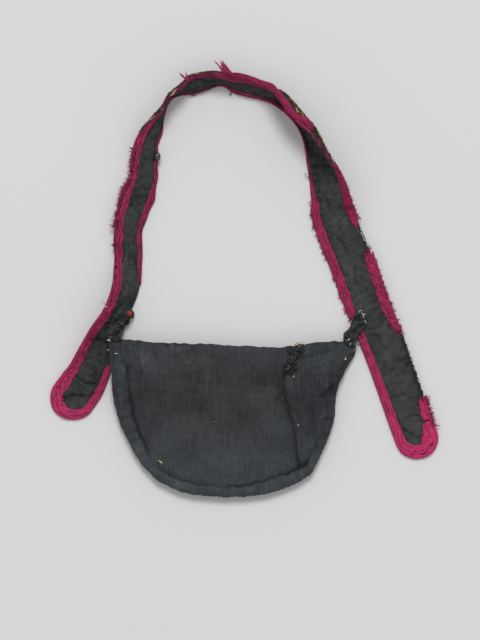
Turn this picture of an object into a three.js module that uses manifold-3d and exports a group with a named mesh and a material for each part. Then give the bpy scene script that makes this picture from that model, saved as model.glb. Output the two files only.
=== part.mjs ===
// Betel nut bag: a flat cloth pouch on one wide strap, whose two ends run past the pouch as round tails.
// It lies on its decorated side. +Z is up from the surface, +Y runs to the strap's arch, sizes are mm.
import * as THREE from "three";
import Module from "manifold-3d";

// Walls and clearances
const gap = 0.3; // between neighbouring pieces
const panelWall = 1.4; // cloth of both panels
const bandWall = 1.5; // cloth of the edge band
const hemRise = 0.5; // the turned hem stands this much above the panel
const hemDepth = 8.5; // hem, measured back from the mouth
const lowerInset = 1.9; // the lower panel's edge inside the band's foot

// Strap and binding
const strapWidth = 40; // over the bindings
const strapHalf = 0.9; // half of the strap's cloth
const bindWall = 0.8; // floss of the binding
const bindFlange = 6.5; // binding from the edge onto each face
const edgeRadius = strapHalf + gap + bindWall; // outside of the bound edge
const leftTieAt = { bound: 66, free: 143 }; // binding_outer starts, binding_inner starts, along the strap
const rightTieAt = { free: 629, bound: 640 }; // binding_inner ends, the right tail's binding ends
const wornAt = { start: 543, end: 573, tailStart: 657, tailEnd: 709 }; // bare lengths of the outer edge
const seat = 0.02; // the strap's edge over the surface
const shiftToCentre = { x: -0.94, y: -0.57 }; // brings the whole box over the origin

// The pouch's rim from the left corner of the mouth, round the bottom, to the right corner.
// band is the width of the edge band inside the rim.
const rimRows = [
  { x: -122.7, y: -52.7, band: 11 },
  { x: -122.0, y: -66.4, band: 12 },
  { x: -119.8, y: -88.2, band: 14 },
  { x: -117.9, y: -109.5, band: 15 },
  { x: -111.8, y: -131.0, band: 14 },
  { x: -102.5, y: -150.0, band: 12 },
  { x: -91.0, y: -168.5, band: 11 },
  { x: -76.0, y: -182.4, band: 10 },
  { x: -55.0, y: -192.0, band: 10 },
  { x: -28.0, y: -196.0, band: 10 },
  { x: 1.0, y: -196.0, band: 10 },
  { x: 26.4, y: -192.0, band: 12 },
  { x: 48.0, y: -184.0, band: 12 },
  { x: 62.7, y: -173.5, band: 9 },
  { x: 70.5, y: -157.5, band: 9 },
  { x: 78.0, y: -141.0, band: 9 },
  { x: 82.5, y: -125.0, band: 8 },
  { x: 84.0, y: -109.5, band: 7 },
  { x: 86.6, y: -95.0, band: 6 },
  { x: 93.0, y: -82.0, band: 6 },
  { x: 99.5, y: -70.5, band: 5 },
  { x: 102.7, y: -62.7, band: 4 },
  { x: 99.5, y: -54.5, band: 4 },
];

// The mouth's edge between the corners
const mouthRows = [
  { x: -122, y: -53.2 },
  { x: -76, y: -55.5 },
  { x: -20, y: -57.8 },
  { x: 36, y: -60.2 },
  { x: 56, y: -56.8 },
  { x: 100, y: -53.5 },
];

// Height of the edge band's top over its width, from the rim (0) to the crease (1)
const bandRows = [
  { at: 0, z: 1.3 },
  { at: 0.15, z: 6.4 },
  { at: 0.4, z: 11 },
  { at: 0.74, z: 13.4 },
  { at: 1, z: 12 },
];

// Height of the upper panel's top by distance from the crease
const panelRows = [
  { at: 0, z: 10.8 },
  { at: 6, z: 12 },
  { at: 25, z: 14.2 },
  { at: 60, z: 15.4 },
];

// Folds of the upper panel: a straight dent each, or a ridge where depth is negative
const foldRows = [
  { name: "valley under the mend", fromX: 37, fromY: -83, toX: 36, toY: -97, depth: 2.2, reach: 4 },
  { name: "valley, middle", fromX: 36, fromY: -97, toX: 45, toY: -130, depth: 2.4, reach: 5 },
  { name: "valley, foot", fromX: 45, fromY: -130, toX: 49, toY: -162, depth: 2.2, reach: 4.5 },
  { name: "ridge beside it", fromX: 54, fromY: -99, toX: 59, toY: -142, depth: -1.6, reach: 9 },
  { name: "hem crease", fromX: 48, fromY: -72, toX: 75, toY: -65, depth: 0.9, reach: 3 },
  { name: "waist dent", fromX: 70, fromY: -104, toX: 80, toY: -93, depth: 1, reach: 4 },
];

// The corners of the mouth: puff is the share of the full height left there, lift raises it over the strap
const cornerRows = [
  { name: "left", x: -122.7, y: -52.7, puff: 0.38, puffReach: 45, lift: 8.5, liftReach: 75 },
  { name: "right", x: 101, y: -57, puff: 0.38, puffReach: 40, lift: 0, liftReach: 1 },
];

// The line where the strap's inner edge meets the surface, from the left tail over the arch to the right tail.
// The cloth leaves that line at slope inner and ends at slope outer, in degrees, and curves evenly between.
// width is less than the full width where the cloth is gathered, at the ties, the left leg and the arch.
const strapRows = [
  { x: -149.5, y: -134, width: 41.5, inner: 0, outer: 4 },
  { x: -129.5, y: -105.3, width: 41, inner: 0, outer: 6 },
  { x: -121, y: -83.6, width: 37, inner: 2, outer: 12 },
  { x: -114.5, y: -58, width: 33, inner: 10, outer: 45 },
  { x: -106.5, y: -36, width: 30, inner: 66, outer: 10 },
  { x: -95.5, y: -9, width: 30, inner: 74, outer: -20 },
  { x: -93.3, y: 20, width: 28, inner: 66, outer: -44 },
  { x: -91.2, y: 48, width: 30, inner: 66, outer: -44 },
  { x: -82, y: 74, width: 33, inner: 60, outer: -46 },
  { x: -80.3, y: 92, width: 28, inner: 68, outer: -42 },
  { x: -79.3, y: 112, width: 27, inner: 74, outer: -30 },
  { x: -75.8, y: 132, width: 26, inner: 70, outer: 18 },
  { x: -73, y: 149, width: 24, inner: 78, outer: 77 },
  { x: -66.4, y: 165.5, width: 24, inner: 84, outer: 96 },
  { x: -56.5, y: 170.4, width: 24, inner: 80, outer: 71 },
  { x: -42.3, y: 172.4, width: 24, inner: 76, outer: 28 },
  { x: -20.8, y: 177.8, width: 24, inner: 80, outer: 52 },
  { x: -3, y: 170, width: 24, inner: 72, outer: 20 },
  { x: 15, y: 165.8, width: 24, inner: 66, outer: 32 },
  { x: 30.3, y: 157.9, width: 40, inner: 14, outer: 154 },
  { x: 45.3, y: 144.4, width: 40, inner: 25, outer: 166 },
  { x: 53.9, y: 127.5, width: 40, inner: 12, outer: 150 },
  { x: 57.5, y: 106, width: 40, inner: 0, outer: 108 },
  { x: 60, y: 90, width: 40, inner: 0, outer: 78 },
  { x: 61.5, y: 73, width: 40, inner: 0, outer: 50 },
  { x: 63, y: 53, width: 41, inner: 0, outer: 20 },
  { x: 77.5, y: 14, width: 42, inner: 1, outer: 10 },
  { x: 95.5, y: -33, width: 40, inner: 1, outer: 8 },
  { x: 112.5, y: -75, width: 40, inner: 0, outer: 6 },
  { x: 133.6, y: -134.8, width: 39.2, inner: 0, outer: 4 },
  { x: 145.4, y: -167.2, width: 40, inner: 0, outer: 4 },
];

// Crumpled ties: wide and high are half sizes of the twisted cloth, tilt leans it against the strap, in degrees
const rightTieRows = [
  { x: 93.5, y: -57, z: 9.3, wide: 5.5, high: 1.6, tilt: 0 },
  { x: 97.5, y: -51, z: 8.7, wide: 7, high: 2.4, tilt: 0 },
  { x: 101.5, y: -44, z: 7.0, wide: 6, high: 2.6, tilt: 0 },
  { x: 104.5, y: -38, z: 6.5, wide: 6.5, high: 2.6, tilt: 0 },
  { x: 108.5, y: -30, z: 5.9, wide: 5.5, high: 2, tilt: 0 },
];
const leftTieRows = [
  { x: -115.5, y: -60, z: 16.8, wide: 5.5, high: 1.4, tilt: -10 },
  { x: -115.8, y: -52, z: 17.1, wide: 6.5, high: 2, tilt: 8 },
  { x: -115.4, y: -42.8, z: 13, wide: 8, high: 2.6, tilt: 40 },
  { x: -110, y: -35.4, z: 12.4, wide: 8.5, high: 2.6, tilt: 45 },
  { x: -103.6, y: -23.1, z: 11.8, wide: 8, high: 2.2, tilt: 48 },
];

// Locks of the frayed tuft at the top of the arch
const lockRows = [
  { fromX: -10.5, fromY: 186.4, fromZ: 21.5, toX: -18.5, toY: 196.5, toZ: 16, thick: 2 },
  { fromX: -14, fromY: 187.6, fromZ: 22, toX: -25, toY: 197.4, toZ: 16, thick: 1.2 },
];

const mend = { left: 37, right: 54, back: -84, front: -60.5, rise: 1.2, lump: 1.3, clear: 0.7 };
const bead = { along: 261, across: 9, round: 2.5, long: 4.2 }; // half sizes, seated on the strap's inner face

const dyes = {
  cloth: { color: 0x36373a, roughness: 0.95, metalness: 0 },
  hemp: { color: 0x46423c, roughness: 0.95, metalness: 0 },
  floss: { color: 0x8e2d4c, roughness: 0.7, metalness: 0 },
  darn: { color: 0x262526, roughness: 0.9, metalness: 0 },
  bead: { color: 0x2b2c30, roughness: 0.4, metalness: 0.3 },
};

const wasm = await Module();
wasm.setup();

const smooth = THREE.MathUtils.smoothstep;
const lerp = THREE.MathUtils.lerp;
const radians = THREE.MathUtils.degToRad;
const upwards = new THREE.Vector3(0, 0, 1);
const span = (from, to, steps) =>
  Array.from({ length: steps + 1 }, (_, i) => lerp(from, to, i / steps));

// Straight-line lookup of one column in rows sorted by another.
function lookup(rows, key, column, value) {
  const last = rows.length - 1;
  if (value <= rows[0][key]) return rows[0][column];
  if (value >= rows[last][key]) return rows[last][column];
  const i = rows.findIndex((row) => row[key] > value);
  const share = (value - rows[i - 1][key]) / (rows[i][key] - rows[i - 1][key]);
  return lerp(rows[i - 1][column], rows[i][column], share);
}

const spline = (rows, read) =>
  new THREE.CatmullRomCurve3(rows.map((row) => new THREE.Vector3(...read(row))), false, "catmullrom", 0.5);

// A closed geometry from points and triangles, turned so that its faces point outwards.
function closedGeometry(points, triangles) {
  const volume = triangles.reduce(
    (sum, [a, b, c]) => sum + points[a].dot(points[b].clone().cross(points[c])),
    0,
  );
  const index = triangles.flatMap(([a, b, c]) => (volume < 0 ? [a, c, b] : [a, b, c]));
  return new THREE.BufferGeometry().setFromPoints(points).setIndex(index);
}

// A sheet with two sides: face(column, row, side) gives a point, side 0 is under and side 1 is on top.
function closedSheet(columns, rows, face) {
  const wide = columns.length;
  const tall = rows.length;
  const at = (side, i, j) => (side * tall + j) * wide + i;
  const points = [0, 1].flatMap((side) =>
    rows.flatMap((row) => columns.map((column) => face(column, row, side))),
  );
  const triangles = [];
  const apart = (a, b) => points[a].distanceTo(points[b]);
  const quad = (a, b, c, d) =>
    apart(a, c) <= apart(b, d) ? triangles.push([a, b, c], [a, c, d]) : triangles.push([a, b, d], [b, c, d]);
  for (let j = 0; j + 1 < tall; j++)
    for (let i = 0; i + 1 < wide; i++) {
      quad(at(1, i, j), at(1, i + 1, j), at(1, i + 1, j + 1), at(1, i, j + 1));
      quad(at(0, i, j), at(0, i, j + 1), at(0, i + 1, j + 1), at(0, i + 1, j));
    }
  for (let i = 0; i + 1 < wide; i++) {
    quad(at(0, i, 0), at(0, i + 1, 0), at(1, i + 1, 0), at(1, i, 0));
    quad(at(0, i, tall - 1), at(1, i, tall - 1), at(1, i + 1, tall - 1), at(0, i + 1, tall - 1));
  }
  for (let j = 0; j + 1 < tall; j++) {
    quad(at(0, 0, j), at(1, 0, j), at(1, 0, j + 1), at(0, 0, j + 1));
    quad(at(0, wide - 1, j), at(0, wide - 1, j + 1), at(1, wide - 1, j + 1), at(1, wide - 1, j));
  }
  return closedGeometry(points, triangles);
}

// A solid rope along a route: size(share) gives half width, half height and tilt, lumps roughen its round.
function closedRope(route, steps, sides, size, lumps) {
  const points = span(0, 1, steps).flatMap((share) => {
    const centre = route.getPoint(share);
    const { wide, high, tilt } = size(share);
    const level = route.getTangent(share).cross(upwards).normalize();
    const across = level.clone().multiplyScalar(Math.cos(tilt)).addScaledVector(upwards, -Math.sin(tilt));
    const up = level.multiplyScalar(Math.sin(tilt)).addScaledVector(upwards, Math.cos(tilt));
    return span(0, 1, sides).slice(0, sides).map((turn) => {
      const angle = turn * Math.PI * 2;
      const swell = 1 + lumps * Math.sin(3 * angle + 9 * share);
      return centre
        .clone()
        .addScaledVector(across, Math.cos(angle) * wide * swell)
        .addScaledVector(up, Math.sin(angle) * high * swell);
    });
  });
  const triangles = [];
  for (let j = 0; j < steps; j++)
    for (let i = 0; i < sides; i++) {
      const [a, b] = [j * sides + i, j * sides + ((i + 1) % sides)];
      triangles.push([a, b, b + sides], [a, b + sides, a + sides]);
    }
  points.push(route.getPoint(0), route.getPoint(1));
  for (let i = 0; i < sides; i++) {
    const next = (i + 1) % sides;
    triangles.push([points.length - 2, next, i]);
    triangles.push([points.length - 1, steps * sides + i, steps * sides + next]);
  }
  return closedGeometry(points, triangles);
}

// One solid from several that touch.
function fuse(geometries) {
  const solids = geometries.map(
    (g) =>
      new wasm.Manifold(
        new wasm.Mesh({
          numProp: 3,
          vertProperties: g.getAttribute("position").array,
          triVerts: new Uint32Array(g.index.array),
        }),
      ),
  );
  const mesh = wasm.Manifold.union(solids).getMesh();
  return new THREE.BufferGeometry()
    .setAttribute("position", new THREE.BufferAttribute(mesh.vertProperties, 3))
    .setIndex(new THREE.BufferAttribute(mesh.triVerts, 1));
}

// Pouch: its rim, the crease inside the band, and its heights
const rim = spline(rimRows, (row) => [row.x, row.y, row.band]);
const rimAt = (share) => rim.getPoint(rim.getUtoTmapping(share));

// A point inside the rim, at a share of the band's width plus a fixed distance.
function insideRim(share, ofBand, further) {
  const point = rimAt(share);
  const [before, after] = [rimAt(Math.max(0, share - 0.004)), rimAt(Math.min(1, share + 0.004))];
  const along = after.sub(before).setZ(0).normalize();
  const depth = point.z * ofBand + further;
  return new THREE.Vector2(point.x - along.y * depth, point.y + along.x * depth);
}

const panelInset = gap + 0.7; // the panel's straight facets stay clear of the band's
const creasePoints = span(0, 1, 120).map((share) => insideRim(share, 1, panelInset));
const creaseDistance = (p) => Math.min(...creasePoints.map((c) => c.distanceTo(p)));
const mouthY = (x) => lookup(mouthRows, "x", "y", x);

function cornerAt(p) {
  return cornerRows.reduce(
    (now, c) => {
      const away = Math.hypot(p.x - c.x, p.y - c.y);
      return {
        puff: now.puff * lerp(c.puff, 1, smooth(away, 0, c.puffReach)),
        lift: now.lift + c.lift * (1 - smooth(away, 0, c.liftReach)),
      };
    },
    { puff: 1, lift: 0 },
  );
}

function foldDepth(p) {
  return foldRows.reduce((sum, f) => {
    const run = new THREE.Vector2(f.toX - f.fromX, f.toY - f.fromY);
    const from = new THREE.Vector2(p.x - f.fromX, p.y - f.fromY);
    const share = THREE.MathUtils.clamp(from.dot(run) / run.lengthSq(), 0, 1);
    const away = from.addScaledVector(run, -share).length();
    return sum + f.depth * Math.exp(-((away / f.reach) ** 2));
  }, 0);
}

const raised = (z, corner) => corner.lift + bandRows[0].z + (z - bandRows[0].z) * corner.puff;

function panelTop(p) {
  const corner = cornerAt(p);
  const dome = lookup(panelRows, "at", "z", creaseDistance(p));
  const hem = hemRise * (1 - smooth(mouthY(p.x) - p.y, hemDepth - 1, hemDepth + 1));
  return raised(dome - foldDepth(p), corner) + hem;
}

// A panel's point over its four edges: the mouth, the left side, the bottom and the right side.
function panelPoint(u, v, edge, mouthDrop) {
  const leftFoot = 0.295; // share of the rim where the left side turns into the bottom
  const rightFoot = 0.7;
  const mouth = (share) => {
    const [left, right] = [edge(0), edge(1)];
    const x = lerp(left.x, right.x, share);
    return new THREE.Vector2(x, mouthY(x) - mouthDrop);
  };
  const corner = { a: mouth(0), b: mouth(1), c: edge(leftFoot), d: edge(rightFoot) };
  const left = v === 0 ? corner.a : edge(leftFoot * v);
  const right = v === 0 ? corner.b : edge(1 - (1 - rightFoot) * v);
  return mouth(u)
    .multiplyScalar(1 - v)
    .addScaledVector(edge(lerp(leftFoot, rightFoot, u)), v)
    .addScaledVector(left, 1 - u)
    .addScaledVector(right, u)
    .addScaledVector(corner.a, -(1 - u) * (1 - v))
    .addScaledVector(corner.b, -u * (1 - v))
    .addScaledVector(corner.c, -(1 - u) * v)
    .addScaledVector(corner.d, -u * v);
}

function upperPanel() {
  const hemRows = [0, 0.03, 0.06, 0.075];
  return closedSheet(span(0, 1, 28), [...hemRows, ...span(0.11, 1, 12)], (u, v, side) => {
    const p = panelPoint(u, v, (share) => insideRim(share, 1, panelInset), 0);
    return new THREE.Vector3(p.x, p.y, panelTop(p) - (1 - side) * panelWall);
  });
}

function lowerPanel() {
  const mouthDrop = 1; // its mouth edge stays hidden under the upper panel's
  return closedSheet(span(0, 1, 20), span(0, 1, 10), (u, v, side) => {
    const p = panelPoint(u, v, (share) => insideRim(share, 0, lowerInset), mouthDrop);
    return new THREE.Vector3(p.x, p.y, cornerAt(p).lift + side * panelWall);
  });
}

function edgeBand() {
  return closedSheet(span(0, 1, 56), bandRows, (share, row, side) => {
    const p = insideRim(share, row.at, 0);
    const top = raised(row.z, cornerAt(p));
    const foot = row.at === 0 ? cornerAt(p).lift : top - bandWall;
    return new THREE.Vector3(p.x, p.y, side ? top : foot);
  });
}

// Strap: a point at s along the inner edge, t across from it, n above the middle of the cloth.
const strapLine = spline(strapRows, (row) => [row.x, row.y, 0]);
const strapSlopes = spline(strapRows, (row) => [row.inner, row.outer, row.width]);
const strapLength = strapLine.getLength();

function strapPoint(s, t, n) {
  const share = strapLine.getUtoTmapping(THREE.MathUtils.clamp(s / strapLength, 0, 1));
  const foot = strapLine.getPoint(share);
  const along = strapLine.getTangent(share);
  const slopes = strapSlopes.getPoint(share);
  const [inner, outer] = [radians(slopes.x), radians(slopes.y)];
  const bend = Math.abs(outer - inner) < 1e-4 ? 1e-4 : outer - inner;
  const slope = inner + (bend * t) / strapWidth;
  const out = ((Math.sin(slope) - Math.sin(inner)) / bend) * slopes.z - n * Math.sin(slope);
  const rise = ((Math.cos(inner) - Math.cos(slope)) / bend) * slopes.z + n * Math.cos(slope);
  const lean = (slopes.z / strapWidth) * Math.sin(inner);
  const base = seat + edgeRadius * (Math.hypot(lean, Math.cos(inner)) - lean); // the bound edge on the surface
  return new THREE.Vector3(foot.x - along.y * out, foot.y + along.x * out, base + rise);
}

// Stations that the strap's cloth and its bindings share, so that their faces run side by side
const middle = strapWidth / 2;
const bodyStations = span(middle, strapLength - middle, 80);

function strap() {
  const reach = middle - edgeRadius; // half width of the cloth, and the radius of its ends
  const flange = 1 - bindFlange / reach; // the binding's inner border, as a share of the half width
  const turns = [8, 24, 42, 62].map(radians);
  const columns = [
    ...turns.map((turn) => ({ s: middle - reach * Math.cos(turn), half: reach * Math.sin(turn) })),
    ...bodyStations.map((s) => ({ s, half: reach })),
    ...turns.reverse().map((turn) => ({
      s: strapLength - middle + reach * Math.cos(turn),
      half: reach * Math.sin(turn),
    })),
  ];
  return closedSheet(columns, [-1, ...span(-flange, flange, 4), 1], ({ s, half }, across, side) =>
    strapPoint(s, middle + half * across, side ? strapHalf : -strapHalf),
  );
}

// Stations on the strap's outline, each with the way in from the edge.
function edgeRun(outer, from, to) {
  const [low, high] = [Math.min(from, to), Math.max(from, to)];
  const run = bodyStations.filter((s) => s >= low && s <= high);
  if (to < from) run.reverse();
  return run.map((s) => ({ s, t: outer ? strapWidth : 0, inS: 0, inT: outer ? -1 : 1 }));
}
const tailRun = (right, from, to) =>
  span(from, to, 10).map((degrees) => {
    const [c, d] = [Math.cos(radians(degrees)), Math.sin(radians(degrees))];
    const inS = right ? -c : c;
    const centre = right ? strapLength - middle : middle;
    return { s: centre - middle * inS, t: middle + middle * d, inS, inT: -d };
  });

// Binding folded round the edge: in is the distance from the outline, lift is along the cloth's normal.
function binding(stations) {
  const foldRows = [
    { flat: bindFlange, turn: 90 },
    { flat: 0, turn: 90 },
    { flat: 0, turn: 30 },
    { flat: 0, turn: -30 },
    { flat: 0, turn: -90 },
    { flat: bindFlange, turn: -90 },
  ];
  return closedSheet(stations, foldRows, (station, fold, side) => {
    const radius = side ? edgeRadius : edgeRadius - bindWall;
    const inwards = edgeRadius + fold.flat - radius * Math.cos(radians(fold.turn));
    return strapPoint(
      station.s + station.inS * inwards,
      station.t + station.inT * inwards,
      radius * Math.sin(radians(fold.turn)),
    );
  });
}

function tuftLock(lock) {
  const from = new THREE.Vector3(lock.fromX, lock.fromY, lock.fromZ);
  const to = new THREE.Vector3(lock.toX, lock.toY, lock.toZ);
  const droop = from.clone().lerp(to, 0.5).setZ(lerp(lock.fromZ, lock.toZ, 0.3));
  const size = (share) => {
    const half = lock.thick * (1 - 0.75 * share);
    return { wide: half, high: half, tilt: 0 };
  };
  return closedRope(new THREE.CatmullRomCurve3([from, droop, to]), 6, 7, size, 0.15);
}

function tie(rows) {
  const sizes = spline(rows, (row) => [row.wide, row.high, radians(row.tilt)]);
  const route = spline(rows, (row) => [row.x, row.y, row.z]);
  const size = (share) => {
    const { x, y, z } = sizes.getPoint(share);
    return { wide: x, high: y, tilt: z };
  };
  return closedRope(route, 14, 12, size, 0.14);
}

function mendLump() {
  return closedSheet(span(0, 1, 10), span(0, 1, 12), (u, v, side) => {
    const waist = Math.sin(Math.PI * lerp(0.12, 0.88, v)); // narrows to both ends
    const x = lerp(mend.left, mend.right, 0.5 + (u - 0.5) * waist);
    const p = new THREE.Vector2(x, lerp(mend.back, mend.front, v));
    const knots = 0.5 + 0.5 * Math.sin(7 * u + 11 * v) * Math.cos(9 * v - 4 * u);
    const swell = Math.sin(Math.PI * lerp(0.1, 0.9, u)) * waist;
    return new THREE.Vector3(p.x, p.y, panelTop(p) + mend.clear + side * (mend.rise + mend.lump * knots * swell));
  });
}

function edgeBead() {
  const seat = strapPoint(bead.along, bead.across, edgeRadius + gap + bead.round);
  return new THREE.SphereGeometry(1, 16, 12)
    .scale(bead.round, bead.long, bead.round)
    .translate(seat.x, seat.y, seat.z);
}

const outerStations = [
  ...edgeRun(false, leftTieAt.bound, middle).slice(0, -1),
  ...tailRun(false, -90, 90),
  ...edgeRun(true, middle, wornAt.start).slice(1),
];
const rightTailStations = [
  ...edgeRun(true, wornAt.tailEnd, strapLength - middle).slice(0, -1),
  ...tailRun(true, 90, -90),
  ...edgeRun(false, strapLength - middle, rightTieAt.bound).slice(1),
];

const pieces = [
  ["lower_panel", lowerPanel(), dyes.cloth],
  ["upper_panel", upperPanel(), dyes.cloth],
  ["edge_band", edgeBand(), dyes.cloth],
  ["strap", strap(), dyes.cloth],
  ["binding_outer", fuse([binding(outerStations), ...lockRows.map(tuftLock)]), dyes.floss],
  ["binding_outer_right", binding(edgeRun(true, wornAt.end, wornAt.tailStart)), dyes.floss],
  ["binding_inner", binding(edgeRun(false, leftTieAt.free, rightTieAt.free)), dyes.floss],
  ["binding_right_tail", binding(rightTailStations), dyes.floss],
  ["left_tie", tie(leftTieRows), dyes.hemp],
  ["right_tie", tie(rightTieRows), dyes.hemp],
  ["mend", mendLump(), dyes.darn],
  ["edge_bead", edgeBead(), dyes.bead],
];

const bag = new THREE.Group();
for (const [name, geometry, dye] of pieces) {
  geometry.translate(shiftToCentre.x, shiftToCentre.y, 0);
  const mesh = new THREE.Mesh(geometry, new THREE.MeshStandardMaterial(dye));
  mesh.name = name;
  bag.add(mesh);
}

export default bag;
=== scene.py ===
# Betel nut bag: the cloth, floss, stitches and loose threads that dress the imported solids.
# Tables are in millimetres, as in the part's source, and meshes are in metres. +Z is up, +Y runs to the arch.
from functools import partial
import bpy
import numpy as np
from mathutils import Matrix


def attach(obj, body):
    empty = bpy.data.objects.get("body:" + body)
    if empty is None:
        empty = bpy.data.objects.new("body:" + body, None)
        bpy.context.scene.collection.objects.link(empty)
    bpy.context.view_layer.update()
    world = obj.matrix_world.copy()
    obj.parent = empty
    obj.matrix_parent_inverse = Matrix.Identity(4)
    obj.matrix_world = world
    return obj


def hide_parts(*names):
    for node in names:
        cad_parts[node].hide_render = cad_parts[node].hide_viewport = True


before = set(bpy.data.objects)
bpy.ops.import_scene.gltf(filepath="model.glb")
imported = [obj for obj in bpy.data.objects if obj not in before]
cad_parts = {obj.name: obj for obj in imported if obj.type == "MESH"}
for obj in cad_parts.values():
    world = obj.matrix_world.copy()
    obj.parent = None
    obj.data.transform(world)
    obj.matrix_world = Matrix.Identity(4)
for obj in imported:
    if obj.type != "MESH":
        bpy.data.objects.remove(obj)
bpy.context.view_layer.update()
print("solids loaded:", len(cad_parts))

mm = 0.001
tau = 2 * np.pi
up = np.array([0.0, 0.0, 1.0])
offUp = {"thread": up + np.array([0.05, 0.02, 0]), "hair": up + np.array([0.3, 0.2, 0])}  # a tube's own up
shiftToCentre = np.array([-0.94, -0.57, 0.0])  # as in the part's source
surfaces = []  # points of the finished skins, for the threads that lie on them

# Camera straight above and far off, so that heights hardly spread the picture.
cameraSizes = {"x": -4.12, "y": -36.02, "height": 2200.0, "frameTall": 581.8, "sensor": 36.0}
overhead = bpy.data.cameras.new("overheadCamera")
overhead.sensor_fit = "VERTICAL"
overhead.sensor_height = cameraSizes["sensor"]
overhead.lens = cameraSizes["sensor"] * cameraSizes["height"] / cameraSizes["frameTall"]
overhead.clip_end = 20
overheadCamera = bpy.data.objects.new("overheadCamera", overhead)
overheadCamera.location = [cameraSizes[k] * mm for k in ("x", "y", "height")]
bpy.context.scene.collection.objects.link(overheadCamera)
bpy.context.scene.camera = overheadCamera
print("camera set")


# sRGB hex to linear colour: the usual curve, with its straight foot.
def dye(hexText):
    c = np.array([int(hexText[i:i + 2], 16) for i in (1, 3, 5)]) / 255
    return (*np.where(c <= 0.04045, c / 12.92, ((c + 0.055) / 1.055) ** 2.4), 1.0)


# Adds a node with its settings, and links each input that is a socket. It gives the node's outputs.
def addNode(tree, kind, inputs, **settings):
    node = tree.nodes.new("ShaderNode" + kind)
    for name, value in settings.items():
        setattr(node, name, value)
    for name, value in inputs.items():
        if isinstance(value, bpy.types.NodeSocket):
            tree.links.new(value, node.inputs[name])
        else:
            node.inputs[name].default_value = value
    return node.outputs


def newMaterial(name):  # an empty material, and addNode tied to its tree
    material = bpy.data.materials.new(name)
    material.use_nodes = True
    material.node_tree.nodes.clear()
    return material, partial(addNode, material.node_tree)


def bandScale(spacing):  # a wave texture's scale for bands this many mm apart
    return tau / 20 / (spacing * mm)


def grainScale(size):  # a noise texture's scale for grains of this many mm
    return 1 / (size * mm)


cottonLook = {"lintSize": 1.9, "lintColour": "#85888b", "napSize": 1.2, "warmTint": (1.12, 1.0, 0.94, 1.0)}


# Hand-woven cotton in an indigo dye: matt, with uneven threads both ways, blotched where the dye took
# unevenly, paler where it has rubbed, darkened by painted shade that the pieces put in their creases, dents
# and folds, and dusted with lint. Threads are about 0.6 mm apart, drawn coarser.
def indigoCotton(name, look):
    material, add = newMaterial(name)
    uv = add("TexCoord", {})["UV"]
    # wearAndShade carries both real wear and painted shade from the pieces
    wearAndShade, warm = (add("Attribute", {}, attribute_name=key)["Fac"] for key in ("wearAndShade", "warm"))
    yarn = {"Vector": uv, "Distortion": 6.0, "Detail": 3.0}
    warp = add("TexWave", {**yarn, "Scale": bandScale(look["rib"]), "Detail Scale": 0.8}, bands_direction="X")
    weft = add("TexWave", {**yarn, "Scale": bandScale(look["rib"] * 0.8)}, bands_direction="Y")
    sway, centre = wearAndShade, 0.0
    for across, along, detail, weight in look["sway"]:
        stretch = (grainScale(across), grainScale(along), 1.0)
        drawn = add("Mapping", {"Vector": uv, "Scale": stretch})["Vector"]
        grain = add("TexNoise", {"Vector": drawn, "Scale": 1.0, "Detail": detail, "Roughness": 0.6})["Fac"]
        sway = add("Math", {0: grain, 1: weight, 2: sway}, operation="MULTIPLY_ADD")[0]
        centre += weight / 2
    tone = add("MapRange", {"Value": sway, "From Min": centre, "From Max": centre + 1})[0]
    colour = add("Mix", {0: tone, 6: dye(look["deep"]), 7: dye(look["faded"])}, data_type="RGBA")[2]
    colour = add("Mix", {0: warm, 6: colour, 7: cottonLook["warmTint"]},
                 data_type="RGBA", blend_type="MULTIPLY")[2]
    fleck = add("TexNoise", {"Vector": uv, "Scale": grainScale(cottonLook["lintSize"]), "Detail": 0.0})["Fac"]
    lint = add("MapRange", {"Value": fleck, "From Min": 0.77, "From Max": 0.86, "To Max": look["lint"]})[0]
    colour = add("Mix", {0: lint, 6: colour, 7: dye(cottonLook["lintColour"])}, data_type="RGBA")[2]
    nap = add("TexNoise", {"Vector": uv, "Scale": grainScale(cottonLook["napSize"]), "Detail": 2.0})["Fac"]
    height = add("Math", {0: weft["Fac"], 1: 0.7, 2: warp["Fac"]}, operation="MULTIPLY_ADD")[0]
    height = add("Math", {0: nap, 1: 3.0, 2: height}, operation="MULTIPLY_ADD")[0]
    bump = add("Bump", {"Height": height, "Strength": 0.5, "Distance": 0.3 * mm})["Normal"]
    rough = add("MapRange", {"Value": nap, "To Min": 0.86, "To Max": 0.98})[0]
    cloth = add("BsdfPrincipled", {
        "Base Color": colour, "Roughness": rough, "Normal": bump, "IOR": 1.45, "Specular IOR Level": 0.2,
        "Sheen Weight": 0.08, "Sheen Roughness": 0.5})
    add("OutputMaterial", {"Surface": cloth["BSDF"]})
    return material


flossLook = {"hairLong": 6.5, "hairWide": 0.6, "ply": 1.7, "plyTurn": 0.5, "blotch": 9.0, "bare": "#2b2927"}
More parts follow.
